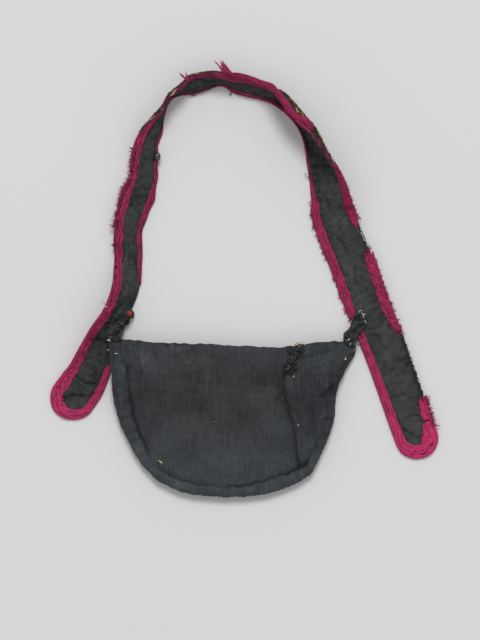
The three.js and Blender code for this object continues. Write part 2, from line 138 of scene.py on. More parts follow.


# Loosely spun silk floss, couched flat: soft gloss along the strands, painted shade in the grooves where
# strands meet, dark where they have worn off, and hairs across. Hairs are far finer than a tenth of a
# millimetre, drawn coarser to show.
def magentaFloss(name, look):
    material, add = newMaterial(name)
    grain = flossLook
    uv = add("TexCoord", {})["UV"]
    keys = ("groove", "bare", "fresh")
    groove, bare, fresh = (add("Attribute", {}, attribute_name=key)["Fac"] for key in keys)
    stretch = (grainScale(grain["hairLong"]), grainScale(grain["hairWide"]), 1.0)
    drawn = add("Mapping", {"Vector": uv, "Scale": stretch})["Vector"]
    hairs = add("TexNoise", {"Vector": drawn, "Scale": 1.0, "Detail": 3.0})["Fac"]
    turned = add("Mapping", {"Vector": uv, "Rotation": (0.0, 0.0, grain["plyTurn"])})["Vector"]
    ply = add("TexWave", {
        "Vector": turned, "Scale": bandScale(grain["ply"]), "Distortion": 3.0, "Detail": 2.0},
        bands_direction="X")["Fac"]
    blotch = add("TexNoise", {
        "Vector": uv, "Scale": grainScale(grain["blotch"]), "Detail": 4.0, "Roughness": 0.65})["Fac"]
    tone = add("Math", {0: hairs, 1: 0.9, 2: blotch}, operation="MULTIPLY_ADD")[0]
    tone = add("Math", {0: fresh, 1: 0.5, 2: tone}, operation="MULTIPLY_ADD")[0]
    tone = add("MapRange", {"Value": tone, "From Min": 0.66, "From Max": 1.44})[0]
    colour = add("Mix", {0: tone, 6: dye(look["deep"]), 7: dye(look["bright"])}, data_type="RGBA")[2]
    # the groove colour: painted shade where a binding's strands meet, and each loose hair's own depth of
    # colour
    colour = add("Mix", {0: groove, 6: colour, 7: dye(look["groove"])}, data_type="RGBA")[2]
    colour = add("Mix", {0: bare, 6: colour, 7: dye(grain["bare"])}, data_type="RGBA")[2]
    height = add("Math", {0: ply, 1: 0.5, 2: hairs}, operation="MULTIPLY_ADD")[0]
    bump = add("Bump", {"Height": height, "Strength": 0.6, "Distance": 0.35 * mm})["Normal"]
    rough = add("MapRange", {"Value": hairs, "To Min": 0.55, "To Max": 0.85})[0]
    floss = add("BsdfPrincipled", {
        "Base Color": colour, "Roughness": rough, "Normal": bump, "IOR": 1.5, "Specular IOR Level": 0.2,
        "Sheen Weight": 0.05, "Sheen Roughness": 0.4})
    add("OutputMaterial", {"Surface": floss["BSDF"]})
    return material


# Twisted sewing and embroidery thread: each length keeps its own dye, and the ply winds round it.
def plyThread(name, look):
    material, add = newMaterial(name)
    uv = add("TexCoord", {})["UV"]
    own = add("Attribute", {}, attribute_name="dye")["Color"]
    turned = add("Mapping", {"Vector": uv, "Rotation": (0.0, 0.0, look["plyTurn"])})["Vector"]
    ply = add("TexWave", {"Vector": turned, "Scale": bandScale(look["ply"]), "Distortion": 1.0},
              bands_direction="X")["Fac"]
    shade = add("MapRange", {"Value": ply, "To Min": 0.72, "To Max": 1.12})[0]
    colour = add("Mix", {0: 1.0, 6: own, 7: shade}, data_type="RGBA", blend_type="MULTIPLY")[2]
    bump = add("Bump", {"Height": ply, "Strength": 0.5, "Distance": 0.15 * mm})["Normal"]
    rough = add("MapRange", {"Value": ply, "To Min": look["rough"], "To Max": look["rough"] + 0.15})[0]
    thread = add("BsdfPrincipled", {
        "Base Color": colour, "Roughness": rough, "Normal": bump, "IOR": 1.5, "Specular IOR Level": 0.2,
        "Sheen Weight": 0.05})
    add("OutputMaterial", {"Surface": thread["BSDF"]})
    return material


# Polished dark seed, nearly black: small sharp highlights, dulled by handling in soft patches.
def polishedSeed(name, look):
    material, add = newMaterial(name)
    place = add("TexCoord", {})["Object"]
    haze = add("TexNoise", {"Vector": place, "Scale": grainScale(look["haze"]), "Detail": 3.0})["Fac"]
    colour = add("Mix", {0: haze, 6: dye(look["deep"]), 7: dye(look["dulled"])}, data_type="RGBA")[2]
    rough = add("MapRange", {"Value": haze, "To Min": 0.12, "To Max": 0.4})[0]
    seed = add("BsdfPrincipled", {
        "Base Color": colour, "Roughness": rough, "IOR": 1.52, "Coat Weight": 0.4, "Coat Roughness": 0.1})
    add("OutputMaterial", {"Surface": seed["BSDF"]})
    return material


# Each sway row is a grain's size across the warp and along it, its detail, and how far it sways the tone.
pouchCotton = indigoCotton("pouchIndigoCotton", {
    "deep": "#26272a", "faded": "#50565b", "rib": 1.7, "lint": 0.22,
    "sway": [(28, 28, 4.0, 0.45), (1.2, 26, 3.0, 0.8), (18, 1.3, 3.0, 0.2), (6, 6, 5.0, 0.6),
             (1.0, 1.0, 2.0, 0.7)]})
strapCotton = indigoCotton("strapIndigoCotton", {
    "deep": "#242526", "faded": "#525453", "rib": 1.6, "lint": 0.3,
    "sway": [(18, 18, 5.0, 0.8), (5, 5, 5.0, 1.2), (1.3, 9, 2.0, 0.3), (1.1, 1.1, 2.0, 0.9)]})
tieCotton = indigoCotton("tieIndigoCotton", {
    "deep": "#1c1e1f", "faded": "#54585a", "rib": 1.3, "lint": 0.3,
    "sway": [(9, 9, 5.0, 0.7), (1.2, 6, 2.0, 0.5), (1.2, 1.2, 2.0, 0.5)]})
edgeFloss = magentaFloss("magentaSilkFloss", {"deep": "#5e1632", "bright": "#cd356f", "groove": "#3f1226"})
# The loose hairs get a paler copy of the floss: painted light that offsets the shade the dense hairs cast on
# each other.
looseHair = magentaFloss("magentaSilkHair", {"deep": "#ac2a60", "bright": "#e25a92", "groove": "#82224a"})
sewingThread = plyThread("cottonSewingThread", {"ply": 0.9, "plyTurn": 0.7, "rough": 0.75})
silkThread = plyThread("silkEmbroideryThread", {"ply": 0.9, "plyTurn": 0.7, "rough": 0.5})
beadSeed = polishedSeed("polishedDarkSeed", {"haze": 1.6, "deep": "#222426", "dulled": "#4c4d4b"})
print("materials made")


def unit(v):  # the same heading with length 1
    return v / np.maximum(np.linalg.norm(v, axis=-1, keepdims=True), 1e-9)


def smooth(x, low, high):  # smoothstep from 0 at low to 1 at high
    k = np.clip((x - low) / (high - low), 0, 1)
    return k * k * (3 - 2 * k)


def bell(x, reach):  # a Gauss curve: 1 at zero, 1 / e at its reach
    return np.exp(-((x / reach) ** 2))


# Uniform Catmull-Rom through a table's rows, with each end mirrored once. at counts rows from 0.
def catmull(table, at):
    p = np.vstack([2 * table[0] - table[1], table, 2 * table[-1] - table[-2]])
    k = np.clip(np.floor(at), 0, len(table) - 2).astype(int)
    w = np.asarray(at - k)[..., None]
    a, b, c, d = p[k], p[k + 1], p[k + 2], p[k + 3]
    return 0.5 * (2 * b + (c - a) * w + (2 * a - 5 * b + 4 * c - d) * w**2 + (3 * b - a - 3 * c + d) * w**3)


# Length along a table's curve against row count: the summed chords of a fine walk.
def lengthTable(table):
    at = np.linspace(0, len(table) - 1, 6001)
    steps = np.linalg.norm(np.diff(catmull(table, at), axis=0), axis=1)
    return np.concatenate([[0], np.cumsum(steps)]), at


# Crumple: a sum of plane waves with random headings and phases, their lengths spread about size. It runs
# from about -1 to 1.
def crumple(a, b, size, seed, waves=16):
    dice = np.random.default_rng(seed)
    heading, phase = dice.uniform(0, tau, (2, waves))
    number = tau / (size * dice.uniform(0.65, 1.5, waves))
    total = 0
    for h, p, k in zip(heading, phase, number):
        total = total + np.sin((a * np.cos(h) + b * np.sin(h)) * k + p)
    return total / np.sqrt(waves)


def ripple(along, size, seed):  # a crumple that runs one way only
    return crumple(along, 0 * along, size, seed)


def aboveFloor(points, height):  # lifts what lies lower than this
    return np.concatenate([points[..., :2], np.maximum(points[..., 2:], height)], -1)


# One closed skin from two matching grids: the upper one, the lower one turned round, and a strip round both.
def closeSheet(over, under):
    rows, columns = over.shape[:2]
    low = rows * columns
    index = np.arange(low).reshape(rows, columns)
    skin = np.stack([index[:-1, :-1], index[:-1, 1:], index[1:, 1:], index[1:, :-1]], -1).reshape(-1, 4)
    ring = np.concatenate([index[0, :-1], index[:-1, -1], index[-1, :0:-1], index[:0:-1, 0]])
    after = np.roll(ring, -1)
    wall = np.stack([after, ring, ring + low, after + low], -1)
    points = np.concatenate([over.reshape(-1, 3), under.reshape(-1, 3)])
    return points, [np.concatenate([skin, skin[:, ::-1] + low, wall])]


def bothSkins(value):  # one value per grid point, for the upper and the lower skin
    flat = value.reshape(-1, *value.shape[2:])
    return np.concatenate([flat, flat])


# Closed tubes: each path's rings stand square to it, thick across and thick * flat along the given normals.
def closeTubes(paths, thick, normals, sides, flat=1.0):
    count, steps = paths.shape[:2]
    along = unit(np.gradient(paths, axis=1))
    across = unit(np.cross(along, np.broadcast_to(normals, paths.shape)))
    upright = np.cross(across, along)
    turn = np.linspace(0, tau, sides, endpoint=False)
    wide = np.broadcast_to(thick, (count, steps))[..., None, None]
    rings = (paths[:, :, None] + wide * np.cos(turn)[:, None] * across[:, :, None]
             + wide * flat * np.sin(turn)[:, None] * upright[:, :, None])
    index = np.arange(count * steps * sides).reshape(count, steps, sides)
    nextSide = np.roll(index, -1, axis=2)
    quads = np.stack([index[:, :-1], nextSide[:, :-1], nextSide[:, 1:], index[:, 1:]], -1).reshape(-1, 4)
    caps = np.concatenate([index[:, 0, ::-1], index[:, -1]])
    gone = np.cumsum(np.linalg.norm(np.diff(paths, axis=1, prepend=paths[:, :1]), axis=2), axis=1)
    uv = np.stack(np.broadcast_arrays(gone[..., None], turn * wide[..., 0]), -1).reshape(-1, 2) * mm
    return rings.reshape(-1, 3), [quads, caps], uv


# A closed skin round rings of points, with a cap at both ends.
def closeRings(points):
    count, sides = points.shape[:2]
    index = np.arange(count * sides).reshape(count, sides)
    beside = np.roll(index, -1, axis=1)
    quads = np.stack([index[:-1], beside[:-1], beside[1:], index[1:]], -1).reshape(-1, 4)
    return points.reshape(-1, 3), [quads, np.stack([index[0, ::-1], index[-1]])]


def insideOut(points, faces):  # the sign of the volume under all faces, fanned from their first corners
    total = 0
    for f in faces:
        for k in range(1, f.shape[1] - 1):
            total += (points[f[:, 0]] * np.cross(points[f[:, k]], points[f[:, k + 1]])).sum()
    return total < 0


# Puts a shape into a mesh object that rides on the bag. points are mm, uv metres, values become attributes.
def makePiece(name, points, faces, material, uv=None, values=None, nodes=(), sharp=55):
    if insideOut(points - points.mean(axis=0), faces):
        faces = [f[:, ::-1] for f in faces]
    corners = np.concatenate([f.ravel() for f in faces])
    sizes = np.concatenate([np.full(len(f), f.shape[1]) for f in faces])
    mesh = bpy.data.meshes.new(name)
    mesh.vertices.add(len(points))
    mesh.vertices.foreach_set("co", ((points + shiftToCentre) * mm).astype(np.float32).ravel())
    mesh.loops.add(len(corners))
    mesh.loops.foreach_set("vertex_index", corners.astype(np.int32))
    mesh.polygons.add(len(sizes))
    mesh.polygons.foreach_set("loop_start", np.concatenate([[0], np.cumsum(sizes)[:-1]]).astype(np.int32))
    mesh.polygons.foreach_set("use_smooth", np.ones(len(sizes), bool))
    if uv is not None:
        mesh.uv_layers.new(name="cut").data.foreach_set("uv", uv[corners].astype(np.float32).ravel())
    for key, value in (values or {}).items():
        kind, field = ("FLOAT", "value") if value.ndim == 1 else ("FLOAT_COLOR", "color")
        mesh.attributes.new(key, kind, "POINT").data.foreach_set(field, value.astype(np.float32).ravel())
    mesh.update(calc_edges=True)
    mesh.validate()
    mesh.set_sharp_from_angle(angle=np.radians(sharp))
    mesh.materials.append(material)
    piece = bpy.data.objects.new(name, mesh)
    bpy.context.scene.collection.objects.link(piece)
    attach(piece, "root")
    if nodes:
        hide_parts(*nodes)
    print(name, "faces", len(sizes))
    return piece


# Cloth or floss with two skins, from an upper and a lower grid. Both skins have the same uv in mm and values.
def sheetPiece(name, over, under, uv, values, material, node, sharp=55):
    points, faces = closeSheet(over, under)
    both = {key: bothSkins(value) for key, value in values.items()}
    return makePiece(name, points, faces, material, bothSkins(uv) * mm, both, [node], sharp)


# Threads of one kind: closed tubes along paths, each with its own dye.
def threadPiece(name, paths, thick, dyes, material, sides=6):
    points, faces, uv = closeTubes(paths, thick, offUp["thread"], sides)
    values = {"dye": np.repeat(np.asarray(dyes, float), paths.shape[1] * sides, axis=0)}
    return makePiece(name, points, faces, material, uv, values, sharp=180)


# Loose floss: closed tubes along paths, each with its own depth of colour.
def flossPiece(name, paths, thick, normals, sides, groove, material):
    points, faces, uv = closeTubes(paths, thick, normals, sides)
    values = {"groove": np.repeat(groove, paths.shape[1] * sides)}
    return makePiece(name, points, faces, material, uv, values, sharp=180)


# The top of what lies under each thread's points: the highest point of all skins within reach, or the floor.
def topOf(x, y, reach=1.6, floor=0.4):
    skin = np.concatenate([s.reshape(-1, 3) for s in surfaces])
    top = np.empty(x.shape)
    for k, (px, py) in enumerate(zip(x, y)):
        near = np.hypot(skin[:, 0] - px[:, None], skin[:, 1] - py[:, None]) < reach
        top[k] = np.where(near, skin[:, 2], floor).max(axis=1)
    return np.maximum(top, floor)


# Pouch: x, y of its rim from the left corner round the bottom to the right corner, and the edge band's width.
rimRows = np.array([
    [-122.7, -52.7, 11], [-122.0, -66.4, 12], [-119.8, -88.2, 14], [-117.9, -109.5, 15],
    [-111.8, -131.0, 14], [-102.5, -150.0, 12], [-91.0, -168.5, 11], [-76.0, -182.4, 10],
    [-55.0, -192.0, 10], [-28.0, -196.0, 10], [1.0, -196.0, 10], [26.4, -192.0, 12], [48.0, -184.0, 12],
    [62.7, -173.5, 9], [70.5, -157.5, 9], [78.0, -141.0, 9], [82.5, -125.0, 8], [84.0, -109.5, 7],
    [86.6, -95.0, 6], [93.0, -82.0, 6], [99.5, -70.5, 5], [102.7, -62.7, 4], [99.5, -54.5, 4]])
# The mouth's edge: x, y.
mouthRows = np.array([[-122, -53.2], [-76, -55.5], [-20, -57.8], [36, -60.2], [56, -56.8], [100, -53.5]])
# The edge band's profile: share of its width, height.
bandRows = np.array([[0, 8.8], [0.12, 10.8], [0.4, 13], [0.74, 14.2], [1, 12.5]])
# Corners of the mouth: x, y, share of the height left there, its reach, lift over the strap, its reach.
cornerRows = np.array([[-122.7, -52.7, 0.38, 45, 8.5, 75], [101, -57, 0.38, 40, 0, 1]])
# How deep the crease between panel and band is: share of the rim, depth.
creaseRows = np.array([
    [0, 0.15], [0.06, 0.3], [0.1, 0.35], [0.13, 0.8], [0.17, 1.1], [0.25, 1.15], [0.28, 0.7], [0.3, 0.1],
    [0.32, 0.35], [0.35, 0.9], [0.39, 0.8], [0.43, 0.4], [0.48, 0.35], [0.51, 0.8], [0.55, 0.9], [0.6, 0.6],
    [0.64, 1.1], [0.685, 1.2], [0.71, 0.6], [0.74, 0.1], [0.82, 0.05], [1, 0.05]])
# Dents of the upper panel: from x, y to x, y, depth and reach. Those less than nothing are lumps.
dentRows = np.array([
    [48, -72, 75, -65, 0.9, 3], [47, -73, 56, -69, 0.5, 1.3], [56, -69, 75, -65, 0.4, 1.3],
    [41, -112, 52, -125, 0.6, 1.4], [-97, -64, -92, -85, 0.5, 1.8], [-106, -58, -105, -84, 0.4, 2],
    [50, -168, 62, -163, 0.9, 2.2], [-84, -158, -74, -166, -1.1, 4], [-66, -174, -46, -184, 0.4, 2.2],
    [-18, -186, 5, -189, 0.4, 2], [-40, -90, 20, -92, 0.25, 5], [-80, -120, -30, -112, 0.3, 6],
    [-20, -150, 40, -146, 0.3, 7], [62, -80, 70, -100, -0.5, 5], [64, -112, 60, -140, 0.5, 4],
    [30, -70, 33, -110, 0.4, 4]])
# Dimples where the right side is drawn in, on panel and band alike: as above.
dimpleRows = np.array([
    [72, -104.5, 79, -97.5, 1.5, 2.2], [79, -97.5, 86, -90.5, 1.3, 1.9], [75, -125, 83, -126.5, 0.9, 1.8],
    [75, -139, 80, -136, 0.7, 1.6], [88, -80, 94, -77, 0.6, 1.6]])
# Pale rubbed patches, on panel and band alike: x, y, reach both ways, strength.
scuffRows = np.array([
    [-63, -61, 14, 4, 0.9], [-89.5, -71, 6, 9, 1.0], [-47, -73, 14, 6, 0.5], [-32, -80, 5, 9, 0.5],
    [-5, -60, 20, 4, 0.6], [-65, -96, 9, 6, 0.4], [6, -105, 5, 5, 0.4], [-59.5, -186, 11, 5, 0.8],
    [-96, -154.5, 4, 6, 0.7], [71, -76, 4, 8, 0.8], [74, -120, 5, 6, 0.6], [18.6, -191, 8, 4, 0.7]])
# The valley fold at the right: x, y and strength, from the mend down.
foldRows = np.array([
    [36.8, -82.7, 0.6], [35.9, -90, 1], [35.9, -96.4, 1], [37.7, -104.5, 1.1], [40.5, -116.4, 1.1],
    [43.2, -124.5, 1], [45.5, -135.4, 0.8], [47.3, -149, 0.8], [49.1, -161.8, 1], [50.9, -168.2, 0.7]])
rimArc, rimRow = lengthTable(rimRows)
rimLength = rimArc[-1]


def rimAt(share):  # x, y and band width at a share of the rim's length
    return catmull(rimRows, np.interp(np.asarray(share) * rimLength, rimArc, rimRow))


# A point inside the rim: square to it, by a share of the band's width plus a fixed distance.
def insideRim(share, ofBand, further):
    share = np.asarray(share, float)
    here = rimAt(share)
    along = unit((rimAt(np.minimum(share + 0.004, 1)) - rimAt(np.maximum(share - 0.004, 0)))[..., :2])
    wobble = 0.7 * ripple(share * rimLength, 15, 18) * np.minimum(1, 20 * np.minimum(share, 1 - share))
    depth = (here[..., 2] + wobble) * ofBand + further
    return np.stack([here[..., 0] - along[..., 1] * depth, here[..., 1] + along[..., 0] * depth], -1)


# The mouth's corners: the share of the height and the lift fade with distance from each corner.
def cornerAt(x, y):
    puff, lift = 1.0, 0.0
    for cx, cy, share, puffReach, rise, liftReach in cornerRows:
        away = np.hypot(x - cx, y - cy)
        puff = puff * (share + (1 - share) * smooth(away, 0, puffReach))
        lift = lift + rise * (1 - smooth(away, 0, liftReach))
    return puff, lift


def raised(z, puff, lift, foot=1.3):  # heights above the foot shrink by puff, and all is lifted
    return lift + foot + (z - foot) * puff


# Dents: depth times a bell of the distance to each straight line.
def dentDepth(x, y, rows):
    total = np.zeros(np.shape(x))
    for fx, fy, tx, ty, depth, reach in rows:
        dx, dy = tx - fx, ty - fy
        share = np.clip(((x - fx) * dx + (y - fy) * dy) / (dx**2 + dy**2), 0, 1)
        away = np.hypot(x - fx - share * dx, y - fy - share * dy)
        total += depth * bell(away, reach)
    return total


def dimpleShade(x, y):  # how deep the dimples are, up to a limit
    return np.clip(dentDepth(x, y, dimpleRows), 0, 1.5)


# Rubbed patches: a bell over each, broken up into flecks.
def scuffs(x, y):
    total = np.zeros(np.shape(x))
    for cx, cy, wide, tall, strength in scuffRows:
        total += strength * bell(x - cx, wide) * bell(y - cy, tall)
    return total * np.clip(0.3 + 0.16 * crumple(x, y, 6, 17) + 0.14 * crumple(x, y, 2.4, 19), 0, 1)


# The nearest station of a line: distance to it, which side of it the point lies on, and what it carries.
def nearLine(x, y, line, carried):
    best, side, held = np.full(np.shape(x), 1e9), np.zeros(np.shape(x)), np.zeros(np.shape(x))
    ahead = unit(np.gradient(line, axis=0))
    for (lx, ly), (ax, ay), value in zip(line, ahead, carried):
        away = (x - lx) ** 2 + (y - ly) ** 2
        closer = away < best
        best = np.where(closer, away, best)
        side = np.where(closer, np.sign(ax * (y - ly) - ay * (x - lx)), side)
        held = np.where(closer, value, held)
    return np.sqrt(best), side, held


def creaseDepth(share):  # straight between the table's rows
    return np.interp(share, creaseRows[:, 0], creaseRows[:, 1])


creaseShares = np.linspace(0, 1, 320)
creaseLine = insideRim(creaseShares, 1, 1.0)
foldLine = catmull(foldRows, np.linspace(0, len(foldRows) - 1, 90))
foldSizes = {"depth": 1.7, "left": 7.0, "right": 1.2, "ridge": 1.2, "ridgeReach": 9.0}


def nearCrease(x, y):  # distance to the crease and its depth there
    away, _, depth = nearLine(x, y, creaseLine, creaseDepth(creaseShares))
    return away, depth


# The valley fold: a slope down to its line from the left, a quick rise and a low ridge on its right.
def valleyFold(x, y):
    size = foldSizes
    away, side, strength = nearLine(x, y, foldLine[:, :2], foldLine[:, 2])
    left = -size["depth"] * bell(away, size["left"])
    right = (-size["depth"] * bell(away, size["right"])
             + size["ridge"] * smooth(away, 0, 3) * bell(away, size["ridgeReach"]))
    # shade: painted shade of the fold, dark on its line and wider on its left side
    shade = bell(away, 1.1) + np.where(side < 0, 0.35, 0.1) * bell(away, 5)
    return strength * np.where(side < 0, left, right), strength * shade


def mouthY(x):  # the mouth's edge, straight between the table's rows
    return np.interp(x, mouthRows[:, 0], mouthRows[:, 1])


def mouthDepth(x, y):  # how far a point lies back from the mouth
    return mouthY(x) - y


panelSizes = {
    "across": 250, "down": 150, "hemRows": 26, "hemShare": 0.12, "wall": 1.4, "tuck": 1.6, "tuckDrop": 1.5,
    "hemDepth": 8.5, "hemRise": 0.45, "flush": 2.2, "rim": 10.8, "dome": 4.6, "domeReach": 16, "wide": 210,
    "deep": 130}


# Height of the upper panel: a dome that rises with the distance from the crease, less its dents, plus fold,
# hem and crumples.
def panelTop(x, y):
    size = panelSizes
    puff, lift = cornerAt(x, y)
    away, depth = nearCrease(x, y)
    flush = size["flush"] * (1 - np.minimum(depth, 1)) * np.exp(-away / 7)  # no step where there is no crease
    dome = size["rim"] + size["dome"] * (1 - np.exp(-away / size["domeReach"])) + flush
    back = mouthDepth(x, y) + 0.7 * ripple(x, 13, 5)
    atRight = 0.25 + 0.75 * smooth(x, 40, 56)  # the hem shows most right of the mend
    hem = size["hemRise"] * atRight * (1 - smooth(back, size["hemDepth"] - 1.2, size["hemDepth"] + 0.8))
    pucker = 0.2 * crumple(x, 0.25 * y, 6.5, 6) * np.exp(-np.maximum(back, 0) / 9)
    soft = 0.32 * crumple(x, y, 34, 1) + 0.16 * crumple(x, 0.6 * y, 15, 2) + 0.05 * crumple(x, y, 5, 3)
    dents = dentDepth(x, y, dentRows) + dentDepth(x, y, dimpleRows)
    return raised(dome - dents + valleyFold(x, y)[0] + soft, puff, lift) + hem + pucker


# A panel as a Coons patch: opposite edges blended both ways, and the four corners taken off once.
def panelGrid(u, v, edge, mouthDrop):
    leftFoot, rightFoot = 0.295, 0.7  # shares of the rim where the sides turn into the bottom
    leftX, rightX = edge(0.0)[0], edge(1.0)[0]

    def mouth(share):
        x = leftX + (rightX - leftX) * np.asarray(share, float)
        return np.stack([x, mouthY(x) - mouthDrop], -1)

    left, right = edge(leftFoot * v), edge(1 - (1 - rightFoot) * v)
    left[0], right[0] = mouth(0), mouth(1)
    a, b = u[None, :, None], v[:, None, None]
    sides = left[:, None] * (1 - a) + right[:, None] * a
    ends = mouth(u)[None] * (1 - b) + edge(leftFoot + (rightFoot - leftFoot) * u)[None] * b
    twice = ((mouth(0) * (1 - a) + mouth(1) * a) * (1 - b)
             + (edge(leftFoot) * (1 - a) + edge(rightFoot) * a) * b)
    return sides + ends - twice


def fromSides(u, v, wide, deep):  # about the mm from the nearest of the sides and the bottom
    return np.minimum(np.minimum(u, 1 - u)[None] * wide, (1 - v)[:, None] * deep)


# The upper panel: a Coons patch lifted to the panel's top, its rim tucked down beside the crease.
def upperPanel():
    size = panelSizes
    u = np.linspace(0, 1, size["across"])
    v = np.concatenate([np.linspace(0, size["hemShare"], size["hemRows"]),
                        np.linspace(size["hemShare"] + 0.006, 1, size["down"] - size["hemRows"])])
    edge = partial(insideRim, ofBand=1, further=-size["tuck"])
    x, y = np.moveaxis(panelGrid(u, v, edge, 0), -1, 0)
    y = y + 0.5 * ripple(x, 11, 7) * (1 - smooth(mouthDepth(x, y), 0, 4))  # the mouth's edge isn't straight
    away, depth = nearCrease(x, y)
    tucked = 1 - smooth(fromSides(u, v, size["wide"], size["deep"]), 0.2, 3.2)
    over = np.stack([x, y, panelTop(x, y) - size["tuckDrop"] * depth * tucked], -1)
    surfaces.append(over)
    hem = 1 - smooth(mouthDepth(x, y), size["hemDepth"] - 1.5, size["hemDepth"] + 1)
    # dark: depth of the dents and dimples, used as painted shade in them
    dark = np.clip(dentDepth(x, y, dentRows[1:]), 0, 1.5) + dimpleShade(x, y)
    warm = 0.9 * bell(x + 30, 80) * bell(y + 105, 48)  # browner in the middle
    dusty = bell(x + 95, 30) * bell(y + 66, 22) + 0.7 * bell(x - 78, 16) * bell(y + 70, 16)  # corners
    wearAndShade = (0.345 + 0.22 * smooth(-y, 110, 175) + 0.01 * hem  # paler towards the bottom
            - 0.22 * dark - 0.34 * np.minimum(valleyFold(x, y)[1], 1.2)  # painted shade in dents and in the fold
            - depth * (0.34 * bell(away, 1.5) + 0.1 * np.exp(-away / 5))  # and painted shade beside the crease
            - 0.05 * smooth(-x, 20, 70) * (1 - smooth(-y, 95, 130))  # darker at the upper left
            - 0.1 * smooth(x, 35, 50) * smooth(-y, 65, 80)  # and right of the mend
            + 0.05 * crumple(x, y, 42, 8) - 0.05 * warm + 0.06 * dusty * (1 + crumple(x, y, 9, 11)))
    rubbed = scuffs(x, y)
    values = {"wearAndShade": wearAndShade + rubbed, "warm": warm + 2.0 * rubbed}
    piece = sheetPiece("upperPanelCloth", over, over - size["wall"] * up, np.stack([x, y], -1), values,
                       pouchCotton, "upper_panel")


lowerSizes = {
    "across": 120, "down": 80, "inset": 1.3, "mouthDrop": 1, "wall": 1.4, "curl": 6.4, "curlReach": 17,
    "wide": 215, "deep": 135}


# The lower panel: flat, with a rim that curls up off the surface.
def lowerPanel():
    size = lowerSizes
    u, v = np.linspace(0, 1, size["across"]), np.linspace(0, 1, size["down"])
    edge = partial(insideRim, ofBand=0, further=size["inset"])
    x, y = np.moveaxis(panelGrid(u, v, edge, size["mouthDrop"]), -1, 0)
    puff, lift = cornerAt(x, y)
    away = fromSides(u, v, size["wide"], size["deep"])
    lift = lift + size["curl"] * puff * (1 - smooth(away, 0, size["curlReach"]))
    over = np.stack([x, y, lift + size["wall"] + 0.1 * crumple(x, y, 14, 9)], -1)
    piece = sheetPiece("lowerPanelCloth", over, np.stack([x, y, lift], -1), np.stack([x, y], -1),
                       {"wearAndShade": 0.4 + 0.1 * crumple(x, y, 30, 10)}, pouchCotton, "lower_panel")


edgeBandSizes = {"along": 620, "across": 26, "wall": 1.5, "scallop": 0.24, "scallopPitch": 4.6, "pucker": 0.4}


# The edge band: its height follows a smooth profile over its width, with puckers square to the rim.
def edgeBand():
    size = edgeBandSizes
    share = np.linspace(0, 1, size["along"])[None]
    at = np.linspace(0, 1, size["across"])[:, None] ** 1.25  # closer together by the rim
    gone = share * rimLength
    foot = smooth(gone, 150, 190) * (1 - smooth(gone, 330, 370))  # the scallops show along the bottom
    wave = size["scallop"] * np.sin(tau * gone / size["scallopPitch"] + 1.6 * ripple(gone, 24, 12)) * foot
    wave = wave + 0.3 * ripple(gone, 11, 13)
    x, y = np.moveaxis(insideRim(share, at, (0.6 - wave) * (1 - at) ** 2), -1, 0)
    profile = catmull(bandRows, np.linspace(0, len(bandRows) - 1, 300))
    depth = creaseDepth(share)
    rise = np.interp(at, profile[:, 0], profile[:, 1]) + (1 - np.minimum(depth, 1)) * smooth(at, 0.6, 1)
    puff, lift = cornerAt(x, y)
    inner = at * rimAt(share)[..., 2]
    pucker = crumple(gone, 0.3 * inner, 9, 14) + 0.5 * crumple(gone, inner, 4, 15)
    top = raised(rise - 0.8 * dentDepth(x, y, dimpleRows) * smooth(at, 0, 0.3), puff, lift)
    top = top + size["pucker"] * pucker * np.sin(np.pi * at) * puff
    over = np.stack([x, y, top], -1)
    surfaces.append(over)
    seam = bell(at - 0.3, 0.07) * (1 - smooth(share, 0.1, 0.2))  # a turned seam at the left
    # The tone follows the puckers' height: painted light on their ridges and painted shade in their hollows.
    wearAndShade = (0.33 + 0.07 * pucker + 0.07 * crumple(x, y, 16, 16)
            + 0.12 * bell(at - 0.5, 0.3) + 0.2 * smooth(-y, 120, 180)  # paler on its crest and at the bottom
            - 0.14 * smooth(share, 0.66, 0.76)  # darker at the right
            - 0.16 * seam - 0.3 * depth * smooth(at, 0.86, 1.0)  # dark in the seam, painted shade in the crease
            - 0.12 * (1 - smooth(at, 0, 0.12)) - 0.2 * dimpleShade(x, y))  # painted shade at the rim and in the dimples
    rubbed = scuffs(x, y)
    under = np.stack([x, y, np.maximum(top - size["wall"], lift)], -1)
    piece = sheetPiece("edgeBandCloth", over, under, np.stack([x, y + 0.8 * rise], -1),
                       {"wearAndShade": wearAndShade + rubbed, "warm": 2.0 * rubbed}, pouchCotton, "edge_band")


upperPanel()
lowerPanel()
edgeBand()
print("pouch made")

# Strap: x, y of the line where its inner edge stands, its width, and its slopes at both edges in degrees.
strapRows = np.array([
    [-149.5, -134, 41.5, 0, 4], [-129.5, -105.3, 41, 0, 6], [-121, -83.6, 37, 2, 12],
    [-114.5, -58, 33, 10, 45], [-106.5, -36, 30, 66, 10], [-95.5, -9, 30, 74, -20],
    [-93.3, 20, 28, 66, -44], [-91.2, 48, 30, 66, -44], [-82, 74, 33, 60, -46], [-80.3, 92, 28, 68, -42],
    [-79.3, 112, 27, 74, -30], [-75.8, 132, 26, 70, 18], [-73, 149, 24, 78, 77], [-66.4, 165.5, 24, 84, 96],
    [-56.5, 170.4, 24, 80, 71], [-42.3, 172.4, 24, 76, 28], [-20.8, 177.8, 24, 80, 52],
    [-3, 170, 24, 72, 20], [15, 165.8, 24, 66, 48], [30.3, 157.9, 38, 18, 144], [45.3, 144.4, 39, 26, 154],
    [53.9, 127.5, 40, 12, 143], [57.5, 106, 40, 0, 108], [60, 90, 40, 0, 78], [61.5, 73, 40, 0, 50],
    [63, 53, 41, 0, 20], [77.5, 14, 42, 1, 10], [95.5, -33, 40, 1, 8], [112.5, -75, 40, 0, 6],
    [133.6, -134.8, 39.2, 0, 4], [145.4, -167.2, 40, 0, 4]])
